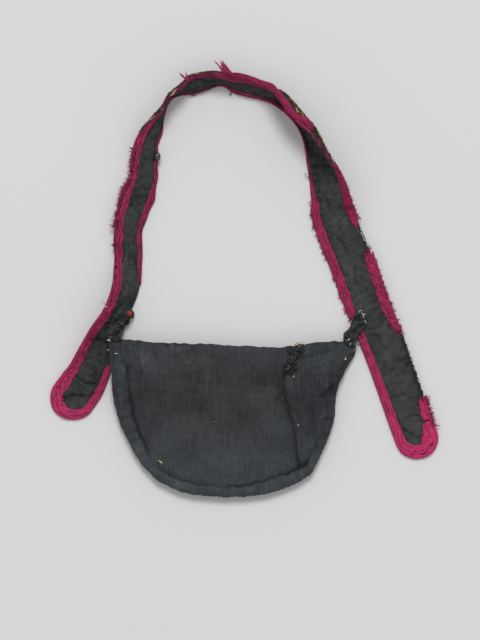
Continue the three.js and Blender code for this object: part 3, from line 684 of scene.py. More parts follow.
# Creases of the strap: from s, t to s, t (along and across), depth and reach.
strapDents = np.array([
    [43, 31, 40, 18.5, 1.2, 1.2], [40, 18.5, 44, 9, 1.2, 1.2], [14, 26, 23, 21, 1.3, 1.1],
    [23, 21, 28, 11.5, 1.2, 1.2], [26, 20, 33, 11, -0.5, 3], [61, 16, 46, 10, 0.5, 1.2],
    [66, 30.5, 60, 24, 0.7, 1.6], [81, 35, 85, 23.5, 1.3, 1.4], [85, 23.5, 86, 8, 1.3, 1.4],
    [98, 30, 108, 10, 0.7, 1.6], [104, 33, 120, 22, 0.8, 1.8], [112, 20, 118, 8, 0.8, 1.8],
    [122, 28, 134, 10, 0.6, 2], [483, 5, 485, 24, 0.9, 1.3], [550, 15, 574, 21, 0.6, 1.3],
    [576, 23.5, 599, 17, 0.6, 1.3], [599, 17, 611, 18, 0.5, 1.3], [707, 10, 708, 22.5, 0.6, 1.2],
    [728, 9, 739, 12, 0.7, 1.2], [728, 20.5, 731, 29, 0.7, 1.2], [739, 12, 750, 22, 0.8, 1.3],
    [205, 12, 212, 30, 0.5, 2], [232, 10, 228, 30, 0.4, 1.8], [358, 10, 348.5, 28, 0.5, 2],
    [386, 12, 394, 30, 0.5, 2], [647, 12, 655, 28, 0.4, 1.6], [675, 22, 679, 33, 0.4, 1.4],
    [513, 14.2, 513.4, 14.8, 1.6, 0.7]])
strapSizes = {"along": 700, "across": 44, "width": 40.0, "half": 0.9, "edge": 2.0, "turns": 22,
              "pathPitch": 1.15, "tailSteps": 56}
strapArc, strapRow = lengthTable(strapRows[:, :2])
strapLength = strapArc[-1]
middle = strapSizes["width"] / 2


# A point of the strap: s along its inner edge, t across, n above the cloth's middle. The slope turns evenly
# across.
def strapPoint(s, t, n):
    s, t, n = np.broadcast_arrays(s, t, n)
    at = np.interp(s, strapArc, strapRow)
    line = strapRows[:, :2]
    foot = catmull(line, at)
    along = unit(catmull(line, at + 0.6) - catmull(line, at - 0.6))  # eased round the bends
    width, inner, outer = np.moveaxis(catmull(strapRows[:, 2:], at), -1, 0)
    inner, outer = np.radians(inner), np.radians(outer)
    bend = np.where(np.abs(outer - inner) < 1e-4, 1e-4, outer - inner)
    slope = inner + bend * t / strapSizes["width"]
    out = (np.sin(slope) - np.sin(inner)) / bend * width - n * np.sin(slope)
    rise = (np.cos(inner) - np.cos(slope)) / bend * width + n * np.cos(slope)
    lean = width / strapSizes["width"] * np.sin(inner)
    z = strapSizes["edge"] * (np.hypot(lean, np.cos(inner)) - lean) + rise  # the bound edge on the surface
    return np.stack([foot[..., 0] - along[..., 1] * out, foot[..., 1] + along[..., 0] * out, z], -1)


# Creases and crumples of the cloth, fading out under the bindings, and a sway of the standing arch.
def strapRelief(s, t):
    inside = smooth(t, 3, 11) * smooth(strapSizes["width"] - t, 3, 11)
    arch = smooth(s, 150, 180) * (1 - smooth(s, 386, 406))
    sway = arch * (1.0 * crumple(s, 0.5 * t, 24, 27) + 0.45 * inside * crumple(0.3 * s, t, 6, 28))
    rumple = 0.36 * crumple(s, t, 17, 21) + 0.2 * crumple(s, t, 6, 22)
    return sway + inside * (rumple - dentDepth(s, t, strapDents))


def onStrap(s, t, n):  # a point of the strap, with its relief
    return strapPoint(s, t, n + strapRelief(s, t))


# The strap's cloth: a strip with half-round ends, its edge ragged where the binding is gone.
def strapCloth():
    size = strapSizes
    reach = middle - size["edge"]
    turn = np.radians(np.linspace(3, 88, size["turns"]))
    body = np.linspace(middle, strapLength - middle, size["along"])
    into, out = reach * np.cos(turn), reach * np.sin(turn)
    s = np.concatenate([middle - into, body, strapLength - middle + into[::-1]])
    half = np.concatenate([out, np.full(size["along"], reach), out[::-1]])
    across = np.linspace(-1, 1, size["across"])[:, None]
    # Two lengths of the outer edge are bare.
    bare = smooth(s, 539, 545) * (1 - smooth(s, 570, 575)) + smooth(s, 655, 661) * (1 - smooth(s, 713, 719))
    lost = np.interp(s, [575, 655], [-1.2, 1.0])  # the upper bare length has lost more
    torn = bare * np.maximum(across, 0) ** 8 * (lost + 0.45 * ripple(s, 3.5, 24) + 0.45 * ripple(s, 9, 25))
    t = middle + half[None] * across + torn
    s = np.broadcast_to(s, t.shape)
    over, under = aboveFloor(onStrap(s, t, size["half"]), 0.6), aboveFloor(onStrap(s, t, -size["half"]), 0.05)
    surfaces.extend([over, under])
    fromBinding = np.minimum(t - 8.6, 31.4 - t).clip(0, 40)
    wearAndShade = (0.35 + 0.1 * crumple(s, t, 30, 23) + 0.07 * crumple(s, t, 8, 26) + 0.14 * smooth(s, 477, 547)
            # painted shade in the creases
            - 0.38 * np.clip(dentDepth(s, t, strapDents), 0, 1.5)
            - 0.16 * np.exp(-fromBinding / 1.6)  # painted shade beside the raised bindings
            - 0.4 * bare * smooth(t, 34, 38.5))
    return sheetPiece("strapCloth", over, under, np.stack([t, s], -1), {"wearAndShade": wearAndShade},
                      strapCotton, "strap")


# Edge paths: stations along the strap's outline, s and t there, and the way in from the edge.
def runPath(outer, start, end):
    s = np.linspace(start, end, int(abs(end - start) / strapSizes["pathPitch"]) + 2)
    t, inT = (strapSizes["width"], -1) if outer else (0, 1)
    return np.stack([s, 0 * s + t, 0 * s, 0 * s + inT], -1)


def tailPath(right, start, end):  # an arc round a tail's centre, between two angles
    turn = np.radians(np.linspace(start, end, strapSizes["tailSteps"]))
    inS = -np.cos(turn) if right else np.cos(turn)
    centre = strapLength - middle if right else middle
    return np.stack([centre - middle * inS, middle + middle * np.sin(turn), inS, -np.sin(turn)], -1)


# Puts the distance gone in front of each station, set to a value at one of them.
def measured(path, station, value):
    steps = np.linalg.norm(np.diff(path[:, :2], axis=0), axis=1)
    gone = np.concatenate([[0], np.cumsum(steps)])
    return np.column_stack([gone - gone[station] + value, path])


# On the runs, the distance gone is the strap's own s.
edgePaths = {
    "outer": measured(np.vstack([
        runPath(False, 66, middle)[:-1], tailPath(False, -90, 90), runPath(True, middle, 557)[1:]]), -1, 557),
    "outerRight": measured(runPath(True, 573, 657), 0, 573),
    "inner": measured(runPath(False, 143, 629), 0, 143),
    "rightTail": measured(np.vstack([
        runPath(True, 716, strapLength - middle)[:-1], tailPath(True, 90, -90),
        runPath(False, strapLength - middle, 640)[1:]]), 0, 716),
    "outerEdge": measured(runPath(True, middle, strapLength - middle), 0, middle)}


# A point by the edge: gone along it, inwards from the outline, n above the cloth's middle.
def onEdge(path, gone, inwards, n):
    s, t, inS, inT = (np.interp(gone, path[:, 0], column) for column in path.T[1:])
    return onStrap(s + inS * inwards, t + inT * inwards, n)


# Floss folded round the edge. q is the distance round it from the outline, plus on the plain face.
def roundEdge(path, gone, q, radius, flange=1.0):
    turn = np.clip(np.abs(q) / strapSizes["edge"], 0, np.pi / 2)
    flat = np.maximum(np.abs(q) - strapSizes["edge"] * np.pi / 2, 0)
    inwards = strapSizes["edge"] - radius * np.cos(turn) + flat * flange
    return onEdge(path, gone, inwards, np.sign(q) * radius * np.sin(turn))


bindingSizes = {
    "flange": 6.5, "strand": 3.1, "low": 1.66, "ridge": 0.4, "inside": 1.2, "across": 64, "teeth": 0.8,
    "pitch": 4.4, "ends": 2.4}
# Wear of each binding: s, share of the width left on the plain face and underneath, fraying, bare edge, and
# fresh colour.
wearRows = {
    "outer": np.array([
        [-85, 0.7, 0.9, 0.2, 0, 0.3], [-60, 0.75, 1, 0, 0, 0.4], [-38, 0.85, 1, 0, 0, 0.6],
        [-18, 1.2, 1, 0, 0, 0.8], [0, 1.4, 1, 0, 0, 0.8], [60, 1.3, 1, 0, 0, 0.3],
        [130, 1.4, 1, 0.05, 0, 0], [186, 1.6, 1, 0.4, 0, 0], [200, 1.5, 1, 1, 0.05, 0.1],
        [258, 1.5, 1, 1, 0.1, 0.1], [272, 1.5, 1, 0.7, 0.5, 0.2], [288, 1.3, 1, 0.7, 0.9, 0.2],
        [325, 1.4, 1, 0.6, 0.95, 0.2], [344, 1.15, 1, 0.5, 0.95, 0], [361, 1.3, 1, 0.3, 0.7, 0],
        [374, 1.6, 1.1, 0.1, 0, 0.1], [400, 1.4, 0.9, 0.1, 0, 0.1], [414, 0.9, 0.5, 0.15, 0, 0.2],
        [447, 0.8, 0.45, 0.2, 0, 0.3], [456, 0.5, 0.2, 0.6, 0.7, 0.1], [487, 0.5, 0.2, 0.7, 0.7, 0.2],
        [497, 0.9, 0.8, 0.8, 0.1, 0.1], [524, 1.15, 1, 0.9, 0, 0.15], [540, 0.95, 1, 1, 0, 0.2],
        [557, 0.5, 0.8, 1, 0.1, 0.3]]),
    "outerRight": np.array([
        [573, 0.9, 1, 1, 0, 0.4], [592, 1.05, 1, 0.8, 0, 0.3], [637, 1, 1, 0.8, 0, 0.2],
        [657, 0.5, 0.8, 1, 0.1, 0.3]]),
    "inner": np.array([
        [143, 0.7, 0.6, 0.4, 0, 0], [160, 1.15, 1, 0.1, 0, 0], [225, 1.2, 1, 0.1, 0, 0],
        [262, 0.7, 1, 0.1, 0.1, 0], [290, 0.5, 1, 0.2, 0.4, 0], [330, 0.7, 1, 0.3, 0.5, 0],
        [366, 1.1, 0.8, 0.3, 0.35, 0], [396, 1.2, 0.8, 0.2, 0.2, 0], [410, 0.5, 0.8, 0.2, 0.3, 0],
        [450, 0.05, 0.8, 0.3, 0.3, 0], [492, 0.05, 0.8, 0.2, 0, 0], [507, 0.4, 1, 0.4, 0, 0.1],
        [519, 0.9, 1, 0.5, 0, 0.2], [607, 1.0, 1, 0.5, 0, 0.3], [629, 0.8, 0.8, 0.6, 0, 0.2]]),
    "rightTail": np.array([
        [709, 0.35, 0.8, 1, 0.1, 0.6], [723, 0.9, 1, 1, 0, 0.7], [736, 1.05, 1, 0.6, 0, 0.8],
        [750, 1.9, 1, 0.5, 0, 0.9], [764, 2.05, 1, 0.35, 0, 0.9], [778, 1.6, 1, 0.3, 0, 0.9],
        [796, 1.6, 1, 0.2, 0, 0.9], [820, 1.1, 1, 0.1, 0, 0.6], [867, 0.95, 1, 0.05, 0, 0.4],
        [922, 0.8, 0.9, 0.1, 0, 0.2]])}


# A binding: strands lie side by side round the edge, each a rounded ridge, its inner border toothed and its
# ends torn.
def edgeBinding(name, pathName, node, seed, slant=0.0, tailSlant=0.0, grooved=0.8):
    size, path, wear = bindingSizes, edgePaths[pathName], wearRows[pathName]
    stations = path[:, 0][None]
    fromStart, toEnd = stations - stations.min(), stations.max() - stations
    reach = size["flange"] + strapSizes["edge"] * np.pi / 2
    q = np.linspace(-reach, reach, size["across"])[:, None]
    torn = size["ends"] * np.clip(0.9 + 0.8 * ripple(q, 4, seed + 5), 0, 1.9)
    leaning = slant * np.clip(0.8 - q / reach, 0, 1)  # a start that runs in from the edge on the plain face
    trailing = tailSlant * np.clip(1 - q / reach, 0, 1)
    gone = (stations + (torn + leaning) * np.exp(-fromStart / 9) - torn * np.exp(-toEnd / 9)
            - trailing * np.exp(-toEnd / 34))
    plain, below, fray, bareEdge, fresh = (np.interp(stations, wear[:, 0], column) for column in wear.T[1:])

    def along(grain, step):  # a ripple along the binding
        return ripple(gone, grain, seed + step)

    def allOver(grain, step):  # a crumple over the whole of it
        return crumple(gone, q, grain, seed + step)

    wander = (0.18 + 0.14 * fray) * along(22, 0) + (0.1 + 0.16 * fray) * allOver(7, 1)
    ridge = np.abs(np.sin(np.pi * (q / size["strand"] + 0.5 + wander))) ** 0.55
    saw = np.abs((gone / size["pitch"] + 0.9 * along(15, 2)) % 1 - 0.5) * 2
    toothed = 0.25 + smooth(np.abs(stations - 350), 230, 310)  # most at both tails
    teeth = size["teeth"] * toothed * (1 + 0.6 * along(9, 13))
    tattered = fray * (0.2 + 0.8 * smooth(stations, 300, 480))  # the left leg's border is whole
    border = (teeth * (1 - 0.7 * fray) * (saw - 0.5) + 0.3 * along(8, 3)
              + tattered * (0.6 * allOver(4.5, 6) + 0.5 * along(2.6, 14)))
    flange = np.where(q > 0, plain, below) * (1 + border / size["flange"])
    rough = 0.07 * allOver(3.2, 4) + fray * (0.1 * allOver(2.3, 7) + 0.14 * allOver(5, 8))
    radius = size["low"] + size["ridge"] * ridge + rough
    thick = 0.35 + 0.65 * smooth(reach - np.abs(q), 0, 0.9)  # thins to its inner border
    radius = size["inside"] + np.maximum(radius - size["inside"], 0.12) * thick
    over = aboveFloor(roundEdge(path, gone, q, radius, flange), 0.05)
    under = aboveFloor(roundEdge(path, gone, q, size["inside"], flange), 0.1)
    surfaces.append(over)
    # painted shade in the grooves between strands, and darker patches where it frays
    groove = (np.clip(1 - ridge, 0, 1) ** 0.9 * grooved
              + fray * np.clip(0.4 * allOver(3.4, 9) - 0.1, -0.1, 0.4))
    further = 5 * np.clip(bareEdge - 0.6, 0, 1)  # the barest lengths are bare further in
    rim = 1 if pathName == "inner" else 1 - smooth(q - further + 1.1 * along(7, 10), 0.8, 2.4)
    bare = 0.95 * rim * smooth(bareEdge + 0.3 * crumple(gone, 2 * q, 8, seed + 12), 0.4, 0.7)
    bare = np.maximum(bare, np.clip(fray * (allOver(5, 11) - 1.15), 0, 0.9))
    values = {"groove": np.clip(groove, 0, 1), "bare": np.clip(bare, 0, 1), "fresh": fresh + 0 * groove}
    uv = np.stack(np.broadcast_arrays(gone, q), -1)
    return sheetPiece(name, over, under, uv, values, edgeFloss, node, sharp=80)


hairSizes = {"floss": 0.3, "cloth": 0.26, "perLock": 4, "steps": 5, "sides": 3, "droop": 0.3, "floor": 0.3}
# Floss hairs: path, from and to along it, locks, length, from and to round the edge, lean, and the root's
# distance out.
hairRows = [
    ("outer", -84, 490, 130, 1.2, -4, 7, 0.2, 1.75), ("outer", 190, 264, 130, 6.6, -0.5, 4, -0.3, 1.75),
    ("outer", 194, 262, 60, 2.4, 1, 8, 0.2, 1.8), ("outer", 262, 350, 60, 2.4, -2, 4, 0.5, 1.75),
    ("outer", 491, 543, 65, 4.0, -2, 3, 0.4, 1.75), ("outer", 534, 546, 20, 2.8, 2, 8, 0.9, 1.75),
    ("outerRight", 578, 657, 130, 4.2, -2, 3, 0.3, 1.75),
    ("outerRight", 573, 582, 16, 4.5, 1, 8, -1.0, 1.75),
    ("outerRight", 649, 657, 14, 3.0, -2, 6, 1.0, 1.75), ("inner", 146, 507, 70, 1.2, -3, 5, 0.2, 1.75),
    ("inner", 512, 569, 58, 4.2, -2, 2, 0.3, 1.75), ("inner", 584, 629, 42, 4.0, -2, 2, 0.3, 1.75),
    ("inner", 507, 629, 70, 2.4, 2, 9, 0.5, 1.8), ("outerRight", 573, 657, 50, 2.4, 3, 9, 0.5, 1.8),
    ("outer", 497, 545, 34, 2.4, 3, 9, 0.5, 1.8), ("rightTail", 716, 746, 60, 6.6, -2, 3, 0.3, 1.75),
    ("rightTail", 716, 726, 22, 6, -2, 6, -0.8, 1.75), ("rightTail", 749, 922, 70, 1.2, -3, 7, 0.2, 1.75)]
# Cloth frays at the bare edges: the same columns.
frayRows = [
    ("outerEdge", 541, 576, 36, 1.4, -1, 3, 0.6, -1.4), ("outerEdge", 655, 712, 55, 1.0, -1, 3, 0.6, 1.0),
    ("outerEdge", 268, 356, 110, 1.8, -5, 2, 0.4, 1.7), ("outerEdge", 453, 493, 80, 2.0, -9, 0, 0.4, 1.3),
    ("outer", 196, 262, 50, 1.8, 1, 7, 0.4, 1.8), ("inner", 290, 430, 30, 1.8, -4, 2, 0.3, 1.7)]
frayColours = np.array([dye(c) for c in ("#1f1f1e", "#2b2a27", "#383529", "#4f4830", "#24201f")])


# Hairs that stand out from an edge in small locks: each bends from its root towards the ground and curls a
# little.
def hairPaths(rows, seed):
    paths = []
    for number, (pathName, start, end, locks, long, low, high, lean, stand) in enumerate(rows):
        dice = np.random.default_rng(seed + number)
        path, count = edgePaths[pathName], locks * hairSizes["perLock"]
        of = np.arange(count) // hairSizes["perLock"]  # which lock a hair belongs to
        gone = dice.uniform(start, end, locks)[of] + dice.normal(0, 0.4, count)
        q = dice.uniform(low, high, locks)[of] + dice.normal(0, 0.4, count)
        root = roundEdge(path, gone, q, stand)
        out = unit(roundEdge(path, gone, q, stand + 1) - root)
        ahead = unit(roundEdge(path, gone + 0.5, q, stand) - roundEdge(path, gone - 0.5, q, stand))
        size = long * (dice.uniform(0.25, 1.0, locks) ** 1.5)[of] * dice.uniform(0.5, 1.0, count)
        heading = lean + dice.normal(0, 0.6, locks)[of] + dice.normal(0, 0.2, count)
        way = unit(out + ahead * heading[:, None] + 0.15 * dice.normal(0, 1, (count, 3)))
        k = np.linspace(0, 1, hairSizes["steps"])[None, :, None]
        curl = dice.normal(0, 0.2, (count, 1, 3)) * np.sin(np.pi * k * dice.uniform(0.6, 1.6, (count, 1, 1)))
        bent = way[:, None] * k + curl * k - hairSizes["droop"] * up * k**2
        paths.append(aboveFloor(root[:, None] + size[:, None, None] * bent, hairSizes["floor"]))
    return np.concatenate(paths)


def taper(thick, end, steps):  # half thickness along a hair, down to a share of it at the tip
    return thick * np.linspace(1, end, steps)[None]


def flossHairs():  # each hair has its own depth of colour
    size, paths = hairSizes, hairPaths(hairRows, 400)
    shade = np.random.default_rng(499).uniform(0, 0.7, len(paths))
    thick = taper(size["floss"], 0.35, size["steps"])
    return flossPiece("flossHairs", paths, thick, offUp["hair"], size["sides"], shade, looseHair)


def clothFrays():  # each fray has one of the colours
    size, paths = hairSizes, hairPaths(frayRows, 450)
    dyes = frayColours[np.random.default_rng(498).integers(0, len(frayColours), len(paths))]
    thick = taper(size["cloth"], 0.6, size["steps"])
    return threadPiece("clothFrays", paths, thick, dyes, sewingThread, size["sides"])


tuftSizes = {"thick": 0.42, "steps": 9, "sides": 3, "curl": 0.9, "arch": 2.2}
# Locks of loose floss that stand off the arch: from x, y, z to x, y, z, spread of the tip, hairs.
tuftRows = np.array([
    [-9.5, 185, 21.5, -20.5, 198, 17, 0.6, 14], [-12, 185.6, 21.8, -20.7, 198, 17, 0.6, 16],
    [-14.5, 186.2, 22, -21.5, 197, 17, 0.6, 14], [-16.5, 187, 22, -21.7, 194.5, 19, 0.5, 9],
    [-18, 187.6, 22, -27.3, 200, 16, 0.35, 7], [-50.6, 180.6, 23, -58.8, 187.2, 19, 0.4, 10],
    [-51, 180.6, 23, -51.8, 188.6, 19, 0.4, 8], [-50.4, 180.4, 23, -56, 184, 21, 0.6, 8],
    [53, 147, 32, 64.5, 135.4, 30.5, 0.8, 16], [52, 145.5, 32.2, 63, 134, 31, 0.8, 14]])


# Tufts: hairs from about one root to about one tip, arched up, each with its own curl.
def flossTufts():
    size, dice = tuftSizes, np.random.default_rng(510)
    rows = np.repeat(tuftRows, tuftRows[:, 7].astype(int), axis=0)
    count = len(rows)
    k = np.linspace(0, 1, size["steps"])[None, :, None]
    root = rows[:, :3] + dice.normal(0, 0.7, (count, 3))
    tip = rows[:, 3:6] + rows[:, 6:7] * dice.normal(0, 1, (count, 3))
    tip = root + (tip - root) * dice.uniform(0.5, 1.08, (count, 1))
    curl = dice.normal(0, size["curl"], (count, 1, 3))
    curl = curl * np.sin(np.pi * k * dice.uniform(0.7, 1.8, (count, 1, 1)))
    paths = root[:, None] * (1 - k) + tip[:, None] * k + curl * k + size["arch"] * up * np.sin(np.pi * k)
    thick = taper(size["thick"], 0.3, size["steps"])
    return flossPiece("flossTufts", paths, thick, offUp["hair"], size["sides"],
                      dice.uniform(0, 0.5, count), looseHair)


looseSizes = {"from": 366, "to": 455, "strands": 22, "spread": 3.6, "thick": 0.56, "stand": 2.15, "steps": 80,
              "sides": 8}
# Where the strands slide: s, distance round the edge.
slideRows = np.array([[366, 3.4], [394, 1.6], [420, 0.0], [438, -3.0], [455, -13.0]])


# Loose strands over the arch: side by side round the edge, sliding from the plain face to the underside.
def looseFloss():
    size, dice = looseSizes, np.random.default_rng(520)
    count = size["strands"]
    offset = np.linspace(-1, 1, count)[:, None] + dice.normal(0, 0.05, (count, 1))
    k = np.linspace(0, 1, size["steps"])[None]
    start, end = size["from"] + dice.uniform(0, 18, (count, 1)), size["to"] - dice.uniform(0, 9, (count, 1))
    s = start + (end - start) * k
    q = np.interp(s, slideRows[:, 0], slideRows[:, 1])
    q = q + size["spread"] * offset * (1 - 0.35 * smooth(s, 396, 425))
    q = q + 0.45 * crumple(s, offset * 40, 16, 521)
    radius = size["stand"] + 0.4 * dice.uniform(0, 1, (count, 1)) + 0.2 * crumple(s, offset * 60, 11, 522)
    paths = roundEdge(edgePaths["outerEdge"], s, q, radius)
    thick = size["thick"] * (0.35 + 0.65 * np.sqrt(np.clip(np.minimum(k, 1 - k) / 0.12, 0, 1)))
    surfaces.append(paths + 0.5 * up)
    return flossPiece("looseFloss", paths, thick, offUp["thread"], size["sides"],
                      dice.uniform(0, 0.25, count), edgeFloss)


borderSizes = {"from": 24, "to": 744, "pitch": 1.25, "block": 6.5, "thick": 0.5, "floor": 0.55,
               "steps": 5, "sides": 5,
               "rows": ((23.2, 27.2, 2.4), (27.2, 31.2, -2.4))}  # from and to across the strap, slant
borderColours = np.array([dye(c) for c in (
    "#2f3026", "#3a382a", "#7d4226", "#2b2c26", "#b3a274", "#34332a", "#8a6a33")])


# Satin stitches of the underside's border: two rows of slanted threads, in blocks of colour.
def borderStitches():
    size, dice = borderSizes, np.random.default_rng(530)
    paths, dyes = [], []
    k = np.linspace(0, 1, size["steps"])[None]
    for near, far, slant in size["rows"]:
        s = np.arange(size["from"], size["to"], size["pitch"])
        s = (s + dice.normal(0, 0.25, len(s)))[:, None]
        t = near + (far - near) * k + dice.normal(0, 0.25, s.shape)
        line = onStrap(s + slant * (k - 0.5), t, -1.1 - 0.35 * np.sin(np.pi * k))
        paths.append(aboveFloor(line, size["floor"]))
        block = (s[:, 0] / size["block"]).astype(int) * 3 + dice.integers(0, 2, len(s))
        dyes.append(borderColours[block % len(borderColours)])
    return threadPiece("borderStitches", np.concatenate(paths), size["thick"], np.concatenate(dyes),
                       silkThread, size["sides"])


loopSizes = {"thick": 0.32, "bow": 0.4, "floor": 0.5, "steps": 7}
# Embroidery stitches round the worn edge: s, distance round the edge, half length, lean, distance out, and
# colour.
loopRows = [
    (292.5, 0.4, 1.3, 0.3, 1.85, "#e3d2ad"), (295, 1.1, 1.0, -0.2, 1.85, "#b08a5a"),
    (299, 0, 1.6, 0.1, 1.8, "#2b2926"), (303, 0.6, 1.2, 0.2, 1.85, "#b9876a"),
    (307, 1.6, 1.5, 0.1, 1.8, "#3a2f2a"), (311, 0.2, 2.4, 0.1, 1.8, "#2a2624"),
    (317.5, 0.4, 2.2, 0.15, 1.85, "#a98e50"), (320, 1.2, 2.6, 0.1, 1.9, "#e6d9ac"),
    (321.5, -0.6, 2.2, 0.2, 1.85, "#7a6232"), (322.5, 0.5, 2.4, 0.1, 1.95, "#d2bf86"),
    (319, 2.0, 1.8, 0.1, 1.85, "#4f4026"), (327, 0.8, 2.6, 0.1, 1.8, "#2b2628"),
    (333, 0.2, 2.2, 0.2, 1.8, "#3b2a2e"), (337, 1.4, 2.0, 0.1, 1.8, "#242120"),
    (340, 0.5, 2.4, 0.15, 1.85, "#9c8054"), (344.5, 0.9, 2.8, 0.1, 1.85, "#cbb68c"),
    (347, 0, 2.0, 0.1, 1.85, "#6e5a34"), (391, -13, 1.3, 0.4, 2.0, "#8f8156"),
    (415, -13.5, 1.6, 0.4, 2.0, "#7d4226"), (419, -12, 1.6, -0.3, 2.0, "#93502c"),
    (425, -9, 1.6, 0.3, 2.0, "#8a3d24"), (428, -10.5, 1.5, 0.4, 2.0, "#a1552e"),
    (435, -8, 1.8, 0.5, 2.1, "#e2d5aa"), (436.5, -8.8, 1.4, -0.3, 2.1, "#c9b06c"),
    (443, -11, 1.4, 0.4, 2.0, "#33312a"), (449, -18, 1.4, 0.3, 2.0, "#6a5630"),
    (456, -11, 1.5, 0.5, 2.1, "#b9954a"), (459, -10, 1.6, 0.4, 2.1, "#d0b066"),
    (461, -9, 1.5, 0.5, 2.1, "#8d7238"), (465, -6.5, 1.6, 0.3, 2.0, "#2b2926"),
    (470, -5, 1.5, 0.3, 2.0, "#6b2f3c"), (473, -4.5, 1.2, 0.3, 2.0, "#b7a684"),
    (476, -4, 1.5, 0.3, 2.0, "#2b2926"), (480.5, -2, 1.8, 0.3, 2.0, "#e2d8b4"),
    (482.5, -1.2, 1.6, 0.4, 2.0, "#c2a76a"), (546, 0.6, 1.6, 0.1, -0.8, "#57512f"),
    (549, 1.4, 1.4, 0.2, -0.8, "#2c2a26"), (552.5, 0.2, 1.8, 0.1, -0.8, "#6a5f38"),
    (557, 1.0, 1.6, 0.1, -0.8, "#2a2826"), (561, 0.3, 1.5, 0.1, -0.8, "#3a3428"),
    (565, 0.8, 1.8, 0.1, -0.8, "#6b3a2a"), (569, 0.2, 1.6, 0.1, -0.8, "#54301f"),
    (571, 1.2, 1.2, 0.1, -0.8, "#8a6a3a"), (660, 0.5, 1.6, 0.1, 1.2, "#7a6a34"),
    (668, 0.2, 1.8, 0.1, 1.2, "#8f8046"), (674, 0.9, 1.5, 0.1, 1.2, "#2c2a26"),
    (681, 0.4, 1.9, 0.1, 1.2, "#55502f"), (688, 0.2, 1.6, 0.1, 1.2, "#a8954c"),
    (694, 0.8, 1.6, 0.1, 1.2, "#3a352a"), (700, 0.3, 1.8, 0.1, 1.2, "#7d6d38"),
    (704, 0.9, 1.4, 0.1, 1.2, "#2b2926"), (204, 5, 1.5, 0.5, 2.2, "#2c2f27"),
    (212, 4, 1.7, -0.6, 2.2, "#3b3f2f"), (219, 5.5, 1.5, 0.4, 2.2, "#232520"),
    (226, 4, 1.7, 0.7, 2.2, "#4a4c33"), (234, 5, 1.5, -0.4, 2.2, "#26261f"),
    (241, 4.2, 1.7, 0.5, 2.2, "#8a6f3e"), (248, 5.2, 1.5, 0.3, 2.2, "#2c2f27"),
    (254, 4.4, 1.5, -0.5, 2.2, "#33352a")]


# Thread loops: short threads along the edge, bowed outwards.
def threadLoops():
    size = loopSizes
    s, q, half, lean, stand = np.array([row[:5] for row in loopRows]).T[..., None]
    k = np.linspace(-1, 1, size["steps"])[None]
    radius = stand + size["bow"] * (1 - k**2)
    paths = roundEdge(edgePaths["outerEdge"], s + half * k, q + lean * half * k, radius)
    return threadPiece("threadLoops", aboveFloor(paths, size["floor"]), size["thick"],
                       [dye(row[5]) for row in loopRows], silkThread)


stitchSizes = {"colour": "#1d1418", "dip": 0.5, "steps": 6}
# Running stitches on the bindings: path, from and to along it, stitch, gap, how far in, height, and half
# thickness.
stitchRows = [
    ("outer", 14, 128, 4.2, 3.6, 5.4, 2.0, 0.4), ("outer", -74, 190, 17.0, 3.0, 2.6, 2.05, 0.2),
    ("outer", 128, 196, 4.4, 16.0, 4.6, 2.0, 0.3), ("outer", 196, 262, 2.6, 2.8, 5.0, 2.15, 0.5),
    ("rightTail", 766, 802, 8.0, 5.0, 4.0, 2.1, 0.42), ("rightTail", 778, 802, 5.0, 8.0, 7.2, 2.05, 0.46),
    ("rightTail", 813, 919, 14.0, 3.0, 3.8, 1.9, 0.2), ("rightTail", 819, 913, 10.0, 9.0, 6.2, 1.85, 0.18),
    ("outerRight", 580, 655, 12.0, 7.0, 4.6, 2.05, 0.2), ("inner", 512, 627, 14.0, 4.0, 4.6, 1.98, 0.2),
    ("inner", 150, 260, 7.0, 3.0, 5.6, 1.9, 0.26)]


# Stitches that run along an edge path: short threads that dip at both ends.
def bindingStitches():
    size, paths, thick = stitchSizes, [], []
    k = np.linspace(-1, 1, size["steps"])[None]
    for number, (pathName, start, end, dash, gap, inwards, n, wide) in enumerate(stitchRows):
        dice = np.random.default_rng(600 + number)
        gone = np.arange(start, end, dash + gap)
        gone = (gone + dice.normal(0, 0.5 + 0.12 * gap, len(gone)))[:, None]
        half = dash * dice.uniform(0.25, 0.6, gone.shape)
        across = inwards + dice.normal(0, 0.35, gone.shape) + k * dice.normal(0, 0.4, gone.shape)
        paths.append(onEdge(edgePaths[pathName], gone + half * k, across, n - size["dip"] * k**4))
        thick.append(np.full(gone.shape, wide))
    paths = np.concatenate(paths)
    fade = np.random.default_rng(7).uniform(0.6, 1.6, (len(paths), 1))
    return threadPiece("bindingStitches", paths, np.concatenate(thick), dye(size["colour"]) * fade,
                       sewingThread)


strap = strapCloth()
onIt = [
    edgeBinding("outerFloss", "outer", "binding_outer", 31, tailSlant=15.0),
    edgeBinding("outerRightFloss", "outerRight", "binding_outer_right", 41, slant=6.0),
    edgeBinding("innerFloss", "inner", "binding_inner", 51),
    edgeBinding("rightTailFloss", "rightTail", "binding_right_tail", 61, grooved=0.5),
    flossHairs(), clothFrays(), flossTufts(), looseFloss(), borderStitches(), threadLoops(),
    bindingStitches()]
print("strap and bindings made")

# Crumpled ties: x, y, z, half width, half height and tilt in degrees, along each.
tieRows = {
    "right_tie": np.array([
        [93.5, -57, 9.3, 5.5, 1.6, 0], [97.5, -51, 8.7, 7, 2.4, 0], [101.5, -44, 7.0, 6, 2.6, 0],
        [104.5, -38, 6.5, 6.5, 2.6, 0], [108.5, -30, 5.9, 5.5, 2, 0]]),
    "left_tie": np.array([
        [-116, -54.5, 17.1, 4.8, 1.3, -10], [-116, -50, 16.9, 6.2, 1.9, 8], [-115.4, -42.8, 13, 8, 2.6, 40],
        [-110, -35.4, 12.4, 8.5, 2.6, 45], [-103.6, -23.1, 11.8, 8, 2.2, 48]])}
